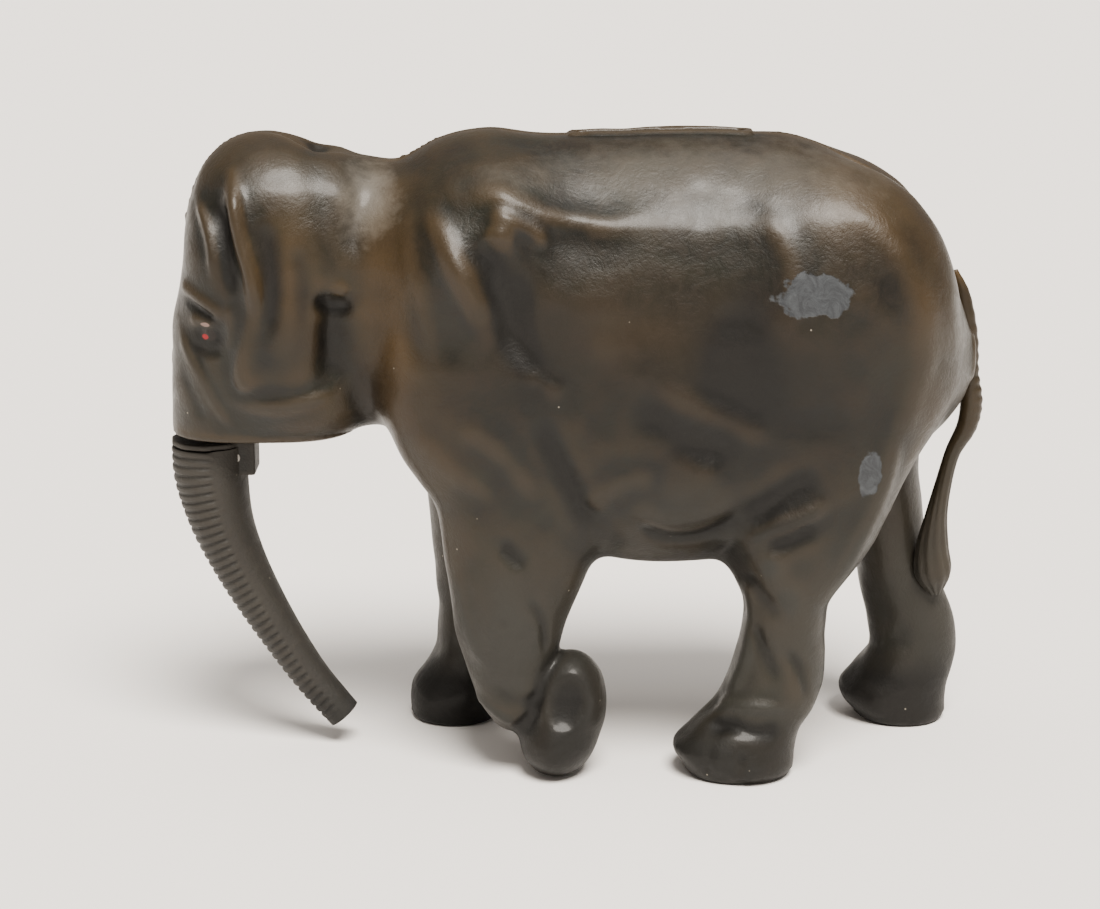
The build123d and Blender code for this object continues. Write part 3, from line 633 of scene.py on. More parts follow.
def makeMesh(name, points, faces):
    mesh = bpy.data.meshes.new(name)
    mesh.from_pydata((np.asarray(points) * mm).tolist(), [], faces.tolist() if isinstance(faces, np.ndarray) else faces)
    mesh.validate()
    mesh.polygons.foreach_set("use_smooth", [True] * len(mesh.polygons))
    piece = bpy.data.objects.new(name, mesh)
    bpy.context.scene.collection.objects.link(piece)
    return piece


def bodyHalf(name, side):
    axes, outer, shell = halfFields(side)
    points, faces = netMesh(axes, shell)
    onPlane = np.abs(points[:, 1]) < 0.32
    distance = sample(axes, outer, points)
    skin = (distance > -0.45) & ~onPlane
    slope = slopeOf(axes, outer, points)
    # settle the outer skin on the true surface
    clear = np.maximum(np.abs(points[:, 0] - trapX) - 14, np.abs(points[:, 1]) - 13)
    free = skin & ((clear > 0) | (points[:, 2] > 45)) & (np.abs(distance) < 0.3)
    points[free] -= (slope * distance[:, None] * 0.8)[free]
    # folds and muscles stand out from, or sink into, the outward skin
    outward = ramp(0.05, 0.45, slope[:, 1] * side)
    height = reliefHeight(points[:, 0], points[:, 2], bothSides)
    if side < 0:
        height += reliefHeight(points[:, 0], points[:, 2], leftOnly)
    height = height * outward
    low = ramp(34, 14, points[:, 2])
    lumps = 0.2 * lumpsOf(points, 11.0, 3) + (0.07 + 0.1 * low) * lumpsOf(points, 4.2, 8)
    away = ramp(0, 3, clear) + ramp(44, 47, points[:, 2])
    height = (height + lumps * np.clip(away, 0, 1)) * ramp(-0.5, -0.1, distance) * ramp(0.2, 2.2, np.abs(points[:, 1]))
    bead = 0.7 * np.exp(-((points[:, 1] / 1.5) ** 2)) * ramp(44, 50, points[:, 0]) * ramp(84, 90, points[:, 2])
    height += bead * ramp(-0.5, -0.1, distance)
    flash = 0.32 * np.exp(-((points[:, 1] / 0.55) ** 2)) * ramp(-0.5, -0.1, distance) * ramp(60, 66, points[:, 2])
    height += flash * (0.6 + 0.4 * lumpsOf(points, 2.2, 5)) * (np.abs(points[:, 0] - 14.5) > 16)
    height *= np.where((points[:, 2] < 1.2) | ((points[:, 2] < 57.6) & (points[:, 0] < -38)), 0, 1)
    points += slope * height[:, None]
    points[:, 1] = np.where(side * points[:, 1] < 0.01, side * 0.01, points[:, 1])
    piece = makeMesh(name, points, faces)
    # the unseen inside keeps fewer faces
    group = piece.vertex_groups.new(name="inside")
    group.add(np.nonzero(distance < -1.3)[0].tolist(), 1.0, "REPLACE")
    thin = piece.modifiers.new("thin inside", "DECIMATE")
    thin.ratio = 0.68
    thin.vertex_group = "inside"
    thin.vertex_group_factor = 10.0
    mesh = bpy.data.meshes.new_from_object(piece.evaluated_get(bpy.context.evaluated_depsgraph_get()))
    piece.modifiers.clear()
    piece.vertex_groups.clear()
    old, piece.data = piece.data, mesh
    bpy.data.meshes.remove(old)
    # close up any tiny edge that thinning left between more than two faces
    tidy = bmesh.new()
    tidy.from_mesh(mesh)
    bmesh.ops.collapse(tidy, edges=[e for e in tidy.edges if len(e.link_faces) > 2])
    tidy.to_mesh(mesh)
    tidy.free()
    print(name, "faces", len(mesh.polygons), "triangles", sum(len(p.vertices) - 2 for p in mesh.polygons))
    return piece


leftHalf = bodyHalf("elephant_left_half", -1)
rightHalf = bodyHalf("elephant_right_half", 1)
print("body halves sculpted")

# colours and nodes


def linear(code):
    # an sRGB hex value as Blender's linear colour
    parts = [int(code[i : i + 2], 16) / 255 for i in (1, 3, 5)]
    return [v / 12.92 if v <= 0.04045 else ((v + 0.055) / 1.055) ** 2.4 for v in parts] + [1.0]


def node(tree, kind, settings=None, links=None):
    # adds a node, sets its properties and sockets, and links its inputs to sockets or to nodes' first outputs
    made = tree.nodes.new(kind)
    for key, value in (settings or {}).items():
        if isinstance(key, int) or key in made.inputs:
            made.inputs[key].default_value = value
        else:
            setattr(made, key, value)
    for key, value in (links or {}).items():
        tree.links.new(value.outputs[0] if hasattr(value, "outputs") else value, made.inputs[key])
    return made


def newMaterial(name):
    made = bpy.data.materials.new(name)
    made.use_nodes = True
    made.node_tree.nodes.clear()
    return made, made.node_tree


def store(piece, name, values):
    # a value for each point that the piece's material reads by name
    piece.data.attributes.new(name, "FLOAT", "POINT").data.foreach_set("value", np.asarray(values, np.float32))


def vectorsOf(piece, name):
    out = np.empty(len(piece.data.vertices) * 3, np.float32)
    piece.data.vertices.foreach_get(name, out)
    return out.reshape(-1, 3).astype(float)


def ridgesAndFolds(piece, passes):
    # how far each point stands out from its neighbours, above zero on ridges and below in folds
    mesh = piece.data
    edges = np.empty(len(mesh.edges) * 2, np.int64)
    mesh.edges.foreach_get("vertices", edges)
    a, b = edges.reshape(-1, 2).T
    p, n = vectorsOf(piece, "co") / mm, vectorsOf(piece, "normal")
    size = len(p)
    count = np.maximum(np.bincount(a, minlength=size) + np.bincount(b, minlength=size), 1)

    def aroundOf(values):
        # the sum over each point's neighbours
        return np.bincount(a, values[b], size) + np.bincount(b, values[a], size)

    soft = p.copy()
    for _ in range(passes):
        soft = 0.5 * soft + 0.5 * np.stack([aroundOf(soft[:, k]) for k in range(3)], 1) / count[:, None]
    out = ((p - soft) * n).sum(1)
    for _ in range(4):
        out = 0.4 * out + 0.6 * aroundOf(out) / count
    return out


# patches of tone on both sides, as rows for spot
tones = dict(
    # golden brown: partly rubbed wear, partly painted highlight on the neck and the rump
    rub_and_highlight=[
        (0.9, -32, 92, 5, 16), (0.7, -30, 74, 5, 14), (0.5, 47, 98, 9, 8), (0.55, -47, 88, 5, 9),
        (0.4, 12, 78, 22, 8), (0.5, 58, 72, 4, 18), (0.45, -22, 40, 5, 22), (0.3, 33, 33, 6, 10),
    ],
    # grey on the jaw, and on the neck patch as worn lacquer with painted sheen of the key light
    greyed=[(0.45, -61, 66, 8, 12), (0.8, -35.5, 99, 5.5, 8)],
    # painted shade in the hollow of the flank, behind and under the shoulder, in the groin, under the ear and on the
    # haunch
    painted_shade=[
        (0.55, 22, 70, 30, 20), (0.5, -8, 82, 7, 9), (0.5, 33, 46, 9, 5), (0.5, -60, 88, 4, 8),
        (0.4, -48, 78, 9, 9), (0.35, -12, 72, 16, 12), (0.3, 40, 66, 14, 12),
    ],
    # painted shade in the hollow of the lifted foot's sole
    soleShade=(0.95, -0.8, 15.6, 5.6, 6.6),
)


def paintTones(piece, side):
    p, n = vectorsOf(piece, "co") / mm, vectorsOf(piece, "normal")
    x, y, z = p.T
    # above zero on ridges, which wear lighter; below zero in folds, which get painted shade
    ridgeFold = ridgesAndFolds(piece, 26)
    patchy = 0.5 + 0.5 * lumpsOf(p, 6.0, 11)
    relief = reliefHeight(x, z, bothSides) + (reliefHeight(x, z, leftOnly) if side < 0 else 0)
    relief = relief * ramp(0.05, 0.45, n[:, 1] * side)
    rubAndHighlight, grey, dark = [sum(spot(x, z, row) for row in tones[k]) for k in ("rub_and_highlight", "greyed", "painted_shade")]
    # golden brown: wear where hands rub on the shoulder, the neck and raised edges, and painted highlight on the neck
    # and the haunch's rim
    # a painted highlight on the rubbed seam along the haunch's rim
    rubAndHighlight += 1.1 * np.exp(-((y / 1.8) ** 2)) * ramp(40, 50, x) * ramp(80, 86, z)
    rubAndHighlight = rubAndHighlight * (0.45 + 0.55 * np.clip(patchy, 0, 1)) + np.clip(ridgeFold / 0.22, 0, 1) * 0.5
    # grey: lacquer thinned by wear, low on the legs and the head, with painted reflection of the pale floor on the
    # lower legs
    grey += 0.85 * ramp(60, 22, z) * (x > -40)
    grey = grey * (0.6 + 0.4 * np.clip(patchy, 0, 1.4)) + np.clip(ridgeFold / 0.3, 0, 1) * 0.25
    grey += np.clip(relief / 0.9, 0, 1) * 0.45 * ramp(86, 70, z)
    # painted shade: dark in the folds, in the hollow of the flank, in the lifted foot's sole hollow and low on the feet
    # near the floor
    dark += np.clip(-ridgeFold / 0.2, 0, 1) * 0.4 + np.clip(-relief / 0.8, 0, 1) * 0.5 + 0.8 * ramp(15, 5, z)
    dark += spot(x, z, tones["soleShade"]) if side < 0 else 0.5 * ramp(26, 6, z)
    for name, values in (("rub_and_highlight", rubAndHighlight), ("greyed", grey), ("painted_shade", dark)):
        store(piece, name, np.clip(values, 0, 1))


paintTones(leftHalf, -1)
paintTones(rightHalf, 1)


def spotMask(tree, coords, place, radii, ragged, noiseSize, edge):
    # 1 inside a ragged spot at that place, in mm
    local = node(
        tree,
        "ShaderNodeMapping",
        {"Location": [-v / r for v, r in zip(place, radii)], "Scale": [1 / (r * mm) for r in radii]},
        {"Vector": coords},
    )
    reach = node(tree, "ShaderNodeVectorMath", {"operation": "LENGTH"}, {0: local}).outputs["Value"]
    fine = {"Scale": 1 / (noiseSize * mm), "Detail": 4.0, "Roughness": 0.6}
    noise = node(tree, "ShaderNodeTexNoise", fine, {"Vector": coords})
    shift = node(tree, "ShaderNodeMath", {"operation": "MULTIPLY_ADD", 1: ragged, 2: -ragged / 2}, {0: noise})
    total = node(tree, "ShaderNodeMath", {"operation": "ADD"}, {0: reach, 1: shift})
    return node(tree, "ShaderNodeMapRange", {"From Min": 1 + edge, "From Max": 1 - edge}, {"Value": total})


# size in mm, detail, roughness, distortion
noises = dict(cloud=(14, 5.0, 0.62, 0.6), streak=(3.2, 6.0, 0.7, 1.2), grain=(0.55, 3.0, 0.6, 0.0))


def patina(name, look):
    made, tree = newMaterial(name)
    coords = node(tree, "ShaderNodeTexCoord").outputs["Object"]
    read = {}
    for key in ("rub_and_highlight", "greyed", "painted_shade"):
        read[key] = node(tree, "ShaderNodeAttribute", {"attribute_name": key}).outputs["Fac"]
    for key, (size, detail, rough, bend) in noises.items():
        values = {"Scale": 1 / (size * mm), "Detail": detail, "Roughness": rough, "Distortion": bend}
        read[key] = node(tree, "ShaderNodeTexNoise", values, {"Vector": coords})
    cloudy = node(tree, "ShaderNodeMapRange", {"From Min": 0.38, "From Max": 0.64}, {"Value": read["cloud"]})
    streaky = node(tree, "ShaderNodeMapRange", {"From Min": 0.42, "From Max": 0.66}, {"Value": read["streak"]})
    # dust specks
    speck = node(tree, "ShaderNodeTexVoronoi", {"Scale": 1 / (2.3 * mm), "Randomness": 1.0}, {"Vector": coords})
    pick = node(tree, "ShaderNodeMath", {"operation": "GREATER_THAN", 1: 0.82}, {0: speck.outputs["Color"]})
    dot = {"Value": speck.outputs["Distance"]}
    dot = node(tree, "ShaderNodeMapRange", {"From Min": 0.085, "From Max": 0.04}, dot)
    dust = node(tree, "ShaderNodeMath", {"operation": "MULTIPLY"}, {0: pick, 1: dot})
    ground = {"data_type": "RGBA", 6: linear(look["base"]), 7: linear(look["olive"])}
    colour = node(tree, "ShaderNodeMix", ground, {0: cloudy}).outputs[2]
    for amount, share, code in (
        (streaky, 0.5, look["brown"]),
        (read["rub_and_highlight"], 0.85, look["rub_and_highlight"]),
        (read["greyed"], 1.0, look["grey"]),
        # painted shade
        (read["painted_shade"], 0.9, look["dark"]),
        (dust, look["dust"], dustColour),
    ):
        amount = node(tree, "ShaderNodeMath", {"operation": "MULTIPLY", 1: share}, {0: amount})
        colour = node(tree, "ShaderNodeMix", {"data_type": "RGBA", 7: linear(code)}, {0: amount, 6: colour}).outputs[2]
    gloss = {"From Min": 0.3, "From Max": 0.7, "To Min": look["rough"][0], "To Max": look["rough"][1]}
    rough = node(tree, "ShaderNodeMapRange", gloss, {"Value": read["streak"]})
    for key, share in (("greyed", 0.14), ("painted_shade", 0.12)):
        rough = node(tree, "ShaderNodeMath", {"operation": "MULTIPLY_ADD", 1: share}, {0: read[key], 2: rough})
    rise = {0: read["grain"], 2: read["streak"]}
    height = node(tree, "ShaderNodeMath", {"operation": "MULTIPLY_ADD", 1: 0.5}, rise)
    bare = None
    for place, radii in look["chips"]:
        mask = spotMask(tree, coords, place, radii, 1.5, 4.2, 0.05)
        bare = mask if bare is None else node(tree, "ShaderNodeMath", {"operation": "MAXIMUM"}, {0: bare, 1: mask})
    if bare is not None:
        zinc = {"data_type": "RGBA", 6: linear(zincColours[0]), 7: linear(zincColours[1])}
        zinc = node(tree, "ShaderNodeMix", zinc, {0: streaky}).outputs[2]
        colour = node(tree, "ShaderNodeMix", {"data_type": "RGBA"}, {0: bare, 6: colour, 7: zinc}).outputs[2]
        rough = node(tree, "ShaderNodeMix", {"data_type": "FLOAT", 3: 0.62}, {0: bare, 2: rough})
        height = node(tree, "ShaderNodeMath", {"operation": "MULTIPLY_ADD", 1: -0.5}, {0: bare, 2: height})
    # pale patches of worn lacquer with painted sheen
    spots = [(place, radii, (1.6, 3.0, 0.45), share, wornAndSheenColour) for place, radii, share in look["wornAndSheen"]]
    spots += [(place, radii, (0.25, 0.6, 0.12), 1.0, code) for place, radii, code in look["paint"]]
    for place, radii, edge, share, code in spots:
        mask = spotMask(tree, coords, place, radii, *edge)
        mask = node(tree, "ShaderNodeMath", {"operation": "MULTIPLY", 1: share}, {0: mask})
        colour = node(tree, "ShaderNodeMix", {"data_type": "RGBA", 7: linear(code)}, {0: mask, 6: colour}).outputs[2]
    bump = node(tree, "ShaderNodeBump", {"Strength": look["bump"], "Distance": 0.35 * mm}, {"Height": height})
    coat = {"Metallic": 0.0, "IOR": 1.5, "Specular IOR Level": look["specular"], "Coat Weight": look["coat"]}
    coat["Coat Roughness"] = 0.19
    shader = node(
        tree, "ShaderNodeBsdfPrincipled", coat, {"Base Color": colour, "Roughness": rough, "Normal": bump}
    )
    node(tree, "ShaderNodeOutputMaterial", links={"Surface": shader})
    return made


dustColour, wornAndSheenColour, zincColours = "#8f887c", "#8d867c", ("#2a2c2f", "#3d4043")


# zinc spelter, slush cast, bronzed brown and lacquered: dark, half glossy, warmer where it is rubbed and where
# highlights are painted, with painted shade in the folds
bodyLook = dict(
    base="#0e0d0a", olive="#181811", brown="#1e170d", rub_and_highlight="#48371f", grey="#252420", dark="#070605",
    rough=(0.31, 0.5), specular=0.2, coat=0.12, bump=0.4, dust=0.7,
    # pale patches: worn lacquer with painted sheen of the key light on the neck and a painted highlight along the top
    # of the back
    wornAndSheen=[((-34.6, -15, 98.4), (4.2, 14, 5.6), 0.2), ((22, -14, 103), (26, 14, 4.0), 0.1)],
    chips=[((39, -25, 84.4), (5.7, 14, 3.7)), ((49, -20, 54.5), (2.1, 14, 3.9))],
    paint=[
        ((-61.5, -13.6, 75.6), (1.5, 4, 1.1), "#1a1512"),
        ((-61.9, -13.6, 77.4), (0.8, 4, 0.4), "#7d665f"),
        ((-62.0, -13.6, 75.2), (0.6, 4, 0.5), "#8c1019"),
        ((-61.5, 13.6, 75.6), (1.5, 4, 1.1), "#1a1512"),
        ((-61.9, 13.6, 77.4), (0.8, 4, 0.4), "#7d665f"),
        ((-62.0, 13.6, 75.2), (0.6, 4, 0.5), "#8c1019"),
    ],
)
bronzed = patina("bronzed lacquered spelter", bodyLook)
# the same metal left matt and darker: the trunk is a separate casting with little lacquer left
trunkLook = dict(
    base="#1f1e1c", olive="#252421", brown="#26221d", rub_and_highlight="#3b362f", grey="#2d2b29", dark="#0f0f0e",
    rough=(0.5, 0.66), specular=0.28, coat=0.0, bump=0.5, dust=0.3, wornAndSheen=[], chips=[], paint=[],
)
mattSpelter = patina("matt bronzed spelter", trunkLook)

# tail: a rope of hair swept down from the seam
tail = dict(
    line=[
        (65.2, 0, 84.5), (66.7, 0, 80), (67.8, 0, 73), (68.3, 0.2, 66.5), (68.8, 0.4, 61.5), (68.2, 0.9, 57),
        (66.0, 1.8, 52), (64.7, 2.8, 46), (63.9, 4.2, 40), (63.6, 5.6, 34), (64.0, 6.6, 29), (64.6, 7.2, 25),
    ],
    radius=[0.5, 1.3, 1.7, 1.6, 1.9, 1.75, 1.35, 1.45, 1.7, 2.2, 2.3, 0.7],
    around=40,
)


def tailMesh():
    path = smoothLine([list(p) + [r] for p, r in zip(tail["line"], tail["radius"])], 20)
    count, turn = len(path), tail["around"]
    points, faces = [], []
    angles = np.arange(turn) / turn * 2 * math.pi
    for n, (x, y, z, r) in enumerate(path):
        before, after = path[max(n - 1, 0)], path[min(n + 1, count - 1)]
        way = (after - before)[:3]
        way /= np.linalg.norm(way)
        out = np.cross((0, 1, 0), way)
        out /= np.linalg.norm(out)
        cross = np.cross(way, out)
        share = n / (count - 1)
        ring = 0.1 * np.exp(-((share - 0.28) / 0.16) ** 2) * np.sin(n * 0.9)
        strands = 0.03 + 0.24 * ramp(0.5, 0.85, np.array(share))
        for a in angles:
            swell = r * (1 + 0.12 * strands * math.cos(3 * a + 7 * share)) + ring * max(math.cos(a) * -1, 0)
            swell += strands * (abs(math.sin(5 * a + 9 * share)) - 0.6)
            wide = 1 + 0.35 * ramp(0.6, 0.9, np.array(share))
            points.append(np.array((x, y, z)) + out * math.cos(a) * swell * wide + cross * math.sin(a) * swell)
    for n in range(count - 1):
        for k in range(turn):
            a, b = n * turn + k, n * turn + (k + 1) % turn
            faces.append((a, b, b + turn, a + turn))
    for n, flip in ((0, True), (count - 1, False)):
        points.append(path[n][:3])
        tip = len(points) - 1
        for k in range(turn):
            a, b = n * turn + k, n * turn + (k + 1) % turn
            faces.append((b, a, tip) if flip else (a, b, tip))
    return makeMesh("elephant_tail", np.array(points), faces)


tailPiece = tailMesh()
paintTones(tailPiece, 1)


# trunk: a tapering sweep with a ring of ribs round its front, made by geometry nodes
trunk = dict(
    line=[
        (-63.2, 54.2, 6.5), (-63.0, 48.4, 6.35), (-61.4, 40.4, 5.45), (-58.6, 33.1, 4.7), (-54.9, 25.8, 4.1),
        (-50.6, 18.5, 3.55), (-46.3, 12.0, 3.2), (-42.8, 7.6, 3.05), (-40.6, 5.0, 2.95),
    ],
    # what the node tree is given, with nine stations to a ring
    inputs={"Rings": 37, "Ring Depth": 0.24 * mm, "Stations": 37 * 9, "Around": 84, "Width Share": 1.17},
)


def trunkTree(material):
    tree = bpy.data.node_groups.new("ringed trunk", "GeometryNodeTree")
    face = tree.interface
    face.new_socket("Geometry", in_out="INPUT", socket_type="NodeSocketGeometry")
    for label, value in trunk["inputs"].items():
        kind = "NodeSocketInt" if isinstance(value, int) else "NodeSocketFloat"
        face.new_socket(label, in_out="INPUT", socket_type=kind)
    face.new_socket("Geometry", in_out="OUTPUT", socket_type="NodeSocketGeometry")
    given = node(tree, "NodeGroupInput").outputs
    steps = {"Curve": given["Geometry"], "Count": given["Stations"]}
    steps = node(tree, "GeometryNodeResampleCurve", links=steps)
    upward = node(tree, "GeometryNodeSetCurveNormal", {"mode": "FREE", "Normal": (0, 1, 0)}, {"Curve": steps})
    circle = node(tree, "GeometryNodeCurvePrimitiveCircle", {"Radius": 1.0}, {"Resolution": given["Around"]})
    stretch = node(tree, "ShaderNodeCombineXYZ", {1: 1.0, 2: 1.0}, {0: given["Width Share"]})
    oval = node(tree, "GeometryNodeTransform", links={"Geometry": circle, "Scale": stretch})
    # both curves carry how far along themselves each point is
    kept, read = {}, {}
    for name, curve in (("along", upward), ("round", oval)):
        values = {"data_type": "FLOAT", "domain": "POINT", "Name": name}
        share = node(tree, "GeometryNodeSplineParameter").outputs["Factor"]
        kept[name] = node(tree, "GeometryNodeStoreNamedAttribute", values, {"Geometry": curve, "Value": share})
        read[name] = node(tree, "GeometryNodeInputNamedAttribute", {"data_type": "FLOAT", "Name": name})
    radius = node(tree, "GeometryNodeInputRadius")
    sweep = {"Curve": kept["along"], "Profile Curve": kept["round"], "Scale": radius}
    sweep = node(tree, "GeometryNodeCurveToMesh", {"Fill Caps": True}, sweep)
    # a saw tooth along the length: each ring rises slowly and drops sharply, on the front only
    turns = node(tree, "ShaderNodeMath", {"operation": "MULTIPLY"}, {0: read["along"], 1: given["Rings"]})
    tooth = node(tree, "ShaderNodeMath", {"operation": "FRACT"}, {0: turns})
    angle = node(tree, "ShaderNodeMath", {"operation": "MULTIPLY", 1: 2 * math.pi}, {0: read["round"]})
    side = node(tree, "ShaderNodeMath", {"operation": "SINE"}, {0: angle})
    rise, fall, front, edge = [
        node(
            tree,
            "ShaderNodeMapRange",
            {"interpolation_type": "SMOOTHSTEP", "From Min": a, "From Max": b, "To Min": c, "To Max": d},
            {"Value": source},
        )
        for source, a, b, c, d in (
            (tooth, 0.0, 0.3, -1.0, 0.35),
            (tooth, 0.62, 1.0, 0.0, -1.35),
            (side, 0.2, 0.08, 0.0, 1.0),
            (read["along"], 0.985, 0.95, 0.0, 1.0),
        )
    ]
    grow = node(tree, "ShaderNodeMath", {"operation": "ADD"}, {0: rise, 1: fall})
    for share in (front, edge, given["Ring Depth"]):
        grow = node(tree, "ShaderNodeMath", {"operation": "MULTIPLY"}, {0: grow, 1: share})
    away = node(tree, "GeometryNodeInputNormal")
    push = node(tree, "ShaderNodeVectorMath", {"operation": "SCALE"}, {0: away, "Scale": grow})
    ribbed = node(tree, "GeometryNodeSetPosition", links={"Geometry": sweep, "Offset": push})
    solid = node(tree, "GeometryNodeRealizeInstances", links={"Geometry": ribbed})
    coat = node(tree, "GeometryNodeSetMaterial", {"Material": material}, {"Geometry": solid})
    node(tree, "NodeGroupOutput", links={0: coat})
    return tree


def bake(piece, name):
    # turns what the geometry nodes make into a plain mesh
    bpy.context.view_layer.update()
    mesh = bpy.data.meshes.new_from_object(piece.evaluated_get(bpy.context.evaluated_depsgraph_get()))
    made = bpy.data.objects.new(name, mesh)
    bpy.context.scene.collection.objects.link(made)
    bpy.data.objects.remove(piece)
    return made


def makeTrunk():
    curve = bpy.data.curves.new("trunk line", "CURVE")
    curve.dimensions = "3D"
    line = smoothLine(trunk["line"], 6)
    spline = curve.splines.new("POLY")
    spline.points.add(len(line) - 1)
    for point, (x, z, r) in zip(spline.points, line):
        point.co = (x * mm, 0, z * mm, 1)
        point.radius = r * mm
    holder = bpy.data.objects.new("trunk line", curve)
    bpy.context.scene.collection.objects.link(holder)
    grow = holder.modifiers.new("ringed trunk", "NODES")
    grow.node_group = trunkTree(mattSpelter)
    for item in grow.node_group.interface.items_tree:
        if item.item_type == "SOCKET" and item.in_out == "INPUT" and item.name in trunk["inputs"]:
            grow[item.identifier] = trunk["inputs"][item.name]
    return bake(holder, "elephant_trunk")


# X of its middle, radii along X and Y, thickness; then the lug's rear X, half width and height
collarPlate = dict(middle=63.2, radii=(6.75, 7.5), thick=1.0, lugRear=55.0, lugHalf=4.15, lugHigh=6.0, step=0.22)


def collarMesh():
    # the collar at the trunk's top and the square lug behind it
    step, middle, (rx, ry) = collarPlate["step"], collarPlate["middle"], collarPlate["radii"]
    half, lugHalf = collarPlate["thick"] / 2, collarPlate["lugHigh"] / 2
    top = collarTop
    axes = [np.arange(-70.6, -54.0, step), np.arange(-8.2, 8.21, step), np.arange(top - 7.2, top + 0.6, step)]
    x, y, z = spread(axes)
    u, v = (x + middle) / rx, y / ry
    near = np.sqrt(u * u + v * v) + 1e-6
    disc = near * (near - 1) / (np.sqrt((u / rx) ** 2 + (v / ry) ** 2) + 1e-6)
    turn = np.arctan2(y, x + middle)
    ragged = 0.12 * np.sin(3 * turn + 1) + 0.08 * np.sin(11 * turn)
    disc = cutSmooth(disc + 0.12 - ragged + 0 * z, np.abs(z - top + half) - half, 0.25)
    lug = np.maximum(x + collarPlate["lugRear"], -middle - x) + 0 * y
    lug = cutSmooth(lug, np.abs(y) - collarPlate["lugHalf"], 0.5)
    lug = cutSmooth(lug, 0 * y + np.abs(z - top + lugHalf) - lugHalf, 0.4)
    return netMesh(axes, joinSmooth(disc + 0 * z, lug, 0.5))


trunkPiece = makeTrunk()
points, faces = collarMesh()
collar = makeMesh("collar", points, faces)
joined = bmesh.new()
joined.from_mesh(trunkPiece.data)
joined.from_mesh(collar.data)
joined.to_mesh(trunkPiece.data)
joined.free()
bpy.data.objects.remove(collar)
print("trunk ringed and joined to its collar,", len(trunkPiece.data.polygons), "faces")
paintTones(trunkPiece, -1)

for piece, stands, moving, slotName, material in (
    (leftHalf, "body_left_half", "body", "cast_body", bronzed),
    (rightHalf, "body_right_half", "body", "cast_body", bronzed),
    (tailPiece, "tail", "body", "cast_body", bronzed),
    (trunkPiece, "trunk_casting", "trunk", "cast_trunk", mattSpelter),
):
    piece.data.materials.clear()
    piece.data.materials.append(material)
    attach(piece, moving)
    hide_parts(stands)

# the fittings that stay as the CAD made them: every metal by how it was worked. Grain is how far the worked
# lines run along X, Y and Z, in mm.
fittings = dict(
    # sheet steel, hot tinned and stamped: pale and cloudy, with dark bare steel and rust where the tin has gone
    tinned=dict(
        name="hot tinned sheet steel", nodes=("trap_frame", "trap_door"),
        fresh="#a19e95", dull="#7a766c", tarnish="#4a443a", rust="#5c3c22",
        rough=(0.26, 0.48), grain=(12.0, 0.35, 0.35), cloud=7.0, bump=0.12,
    ),
    # brass strip, blanked and filed: yellow where it rubs, brown and dull in the open
    brass=dict(
        name="filed brass strip",
        nodes=("trunk_hanger", "lock_case", "lock_rivets", "keyhole_escutcheon", "escutcheon_pins"),
        fresh="#a08a5a", dull="#7d6a45", tarnish="#4d3a20", rust="#3a3a28",
        rough=(0.24, 0.44), grain=(0.3, 6.0, 6.0), cloud=3.0, bump=0.1,
    ),
    # iron wire, drawn: grey with fine lines along it and a brown bloom
    wire=dict(
        name="drawn iron wire", nodes=("hanger_rivet", "trunk_pivot_pin", "trap_hinge_pin"),
        fresh="#8a8783", dull="#635f5a", tarnish="#3b3530", rust="#5a3720",
        rough=(0.3, 0.5), grain=(5.0, 5.0, 0.15), cloud=2.0, bump=0.1,
    ),
    # steel bar, filed all over: crossing file lines and an oiled brown film
    bar=dict(
        name="filed steel bar", nodes=("lock_bolt", "key_post"),
        fresh="#94918c", dull="#6f6b65", tarnish="#403a33", rust="#533620",
        rough=(0.25, 0.42), grain=(0.18, 2.6, 0.4), cloud=2.4, bump=0.14,
    ),
    # spring steel, rolled and tempered: smooth, straw to blue from the heat
    spring=dict(
        name="tempered spring steel", nodes=("lock_spring",),
        fresh="#6f7480", dull="#5b5f70", tarnish="#5c4c3a", rust="#3c3230",
        rough=(0.18, 0.34), grain=(0.25, 8.0, 0.25), cloud=5.0, bump=0.05,
    ),
)


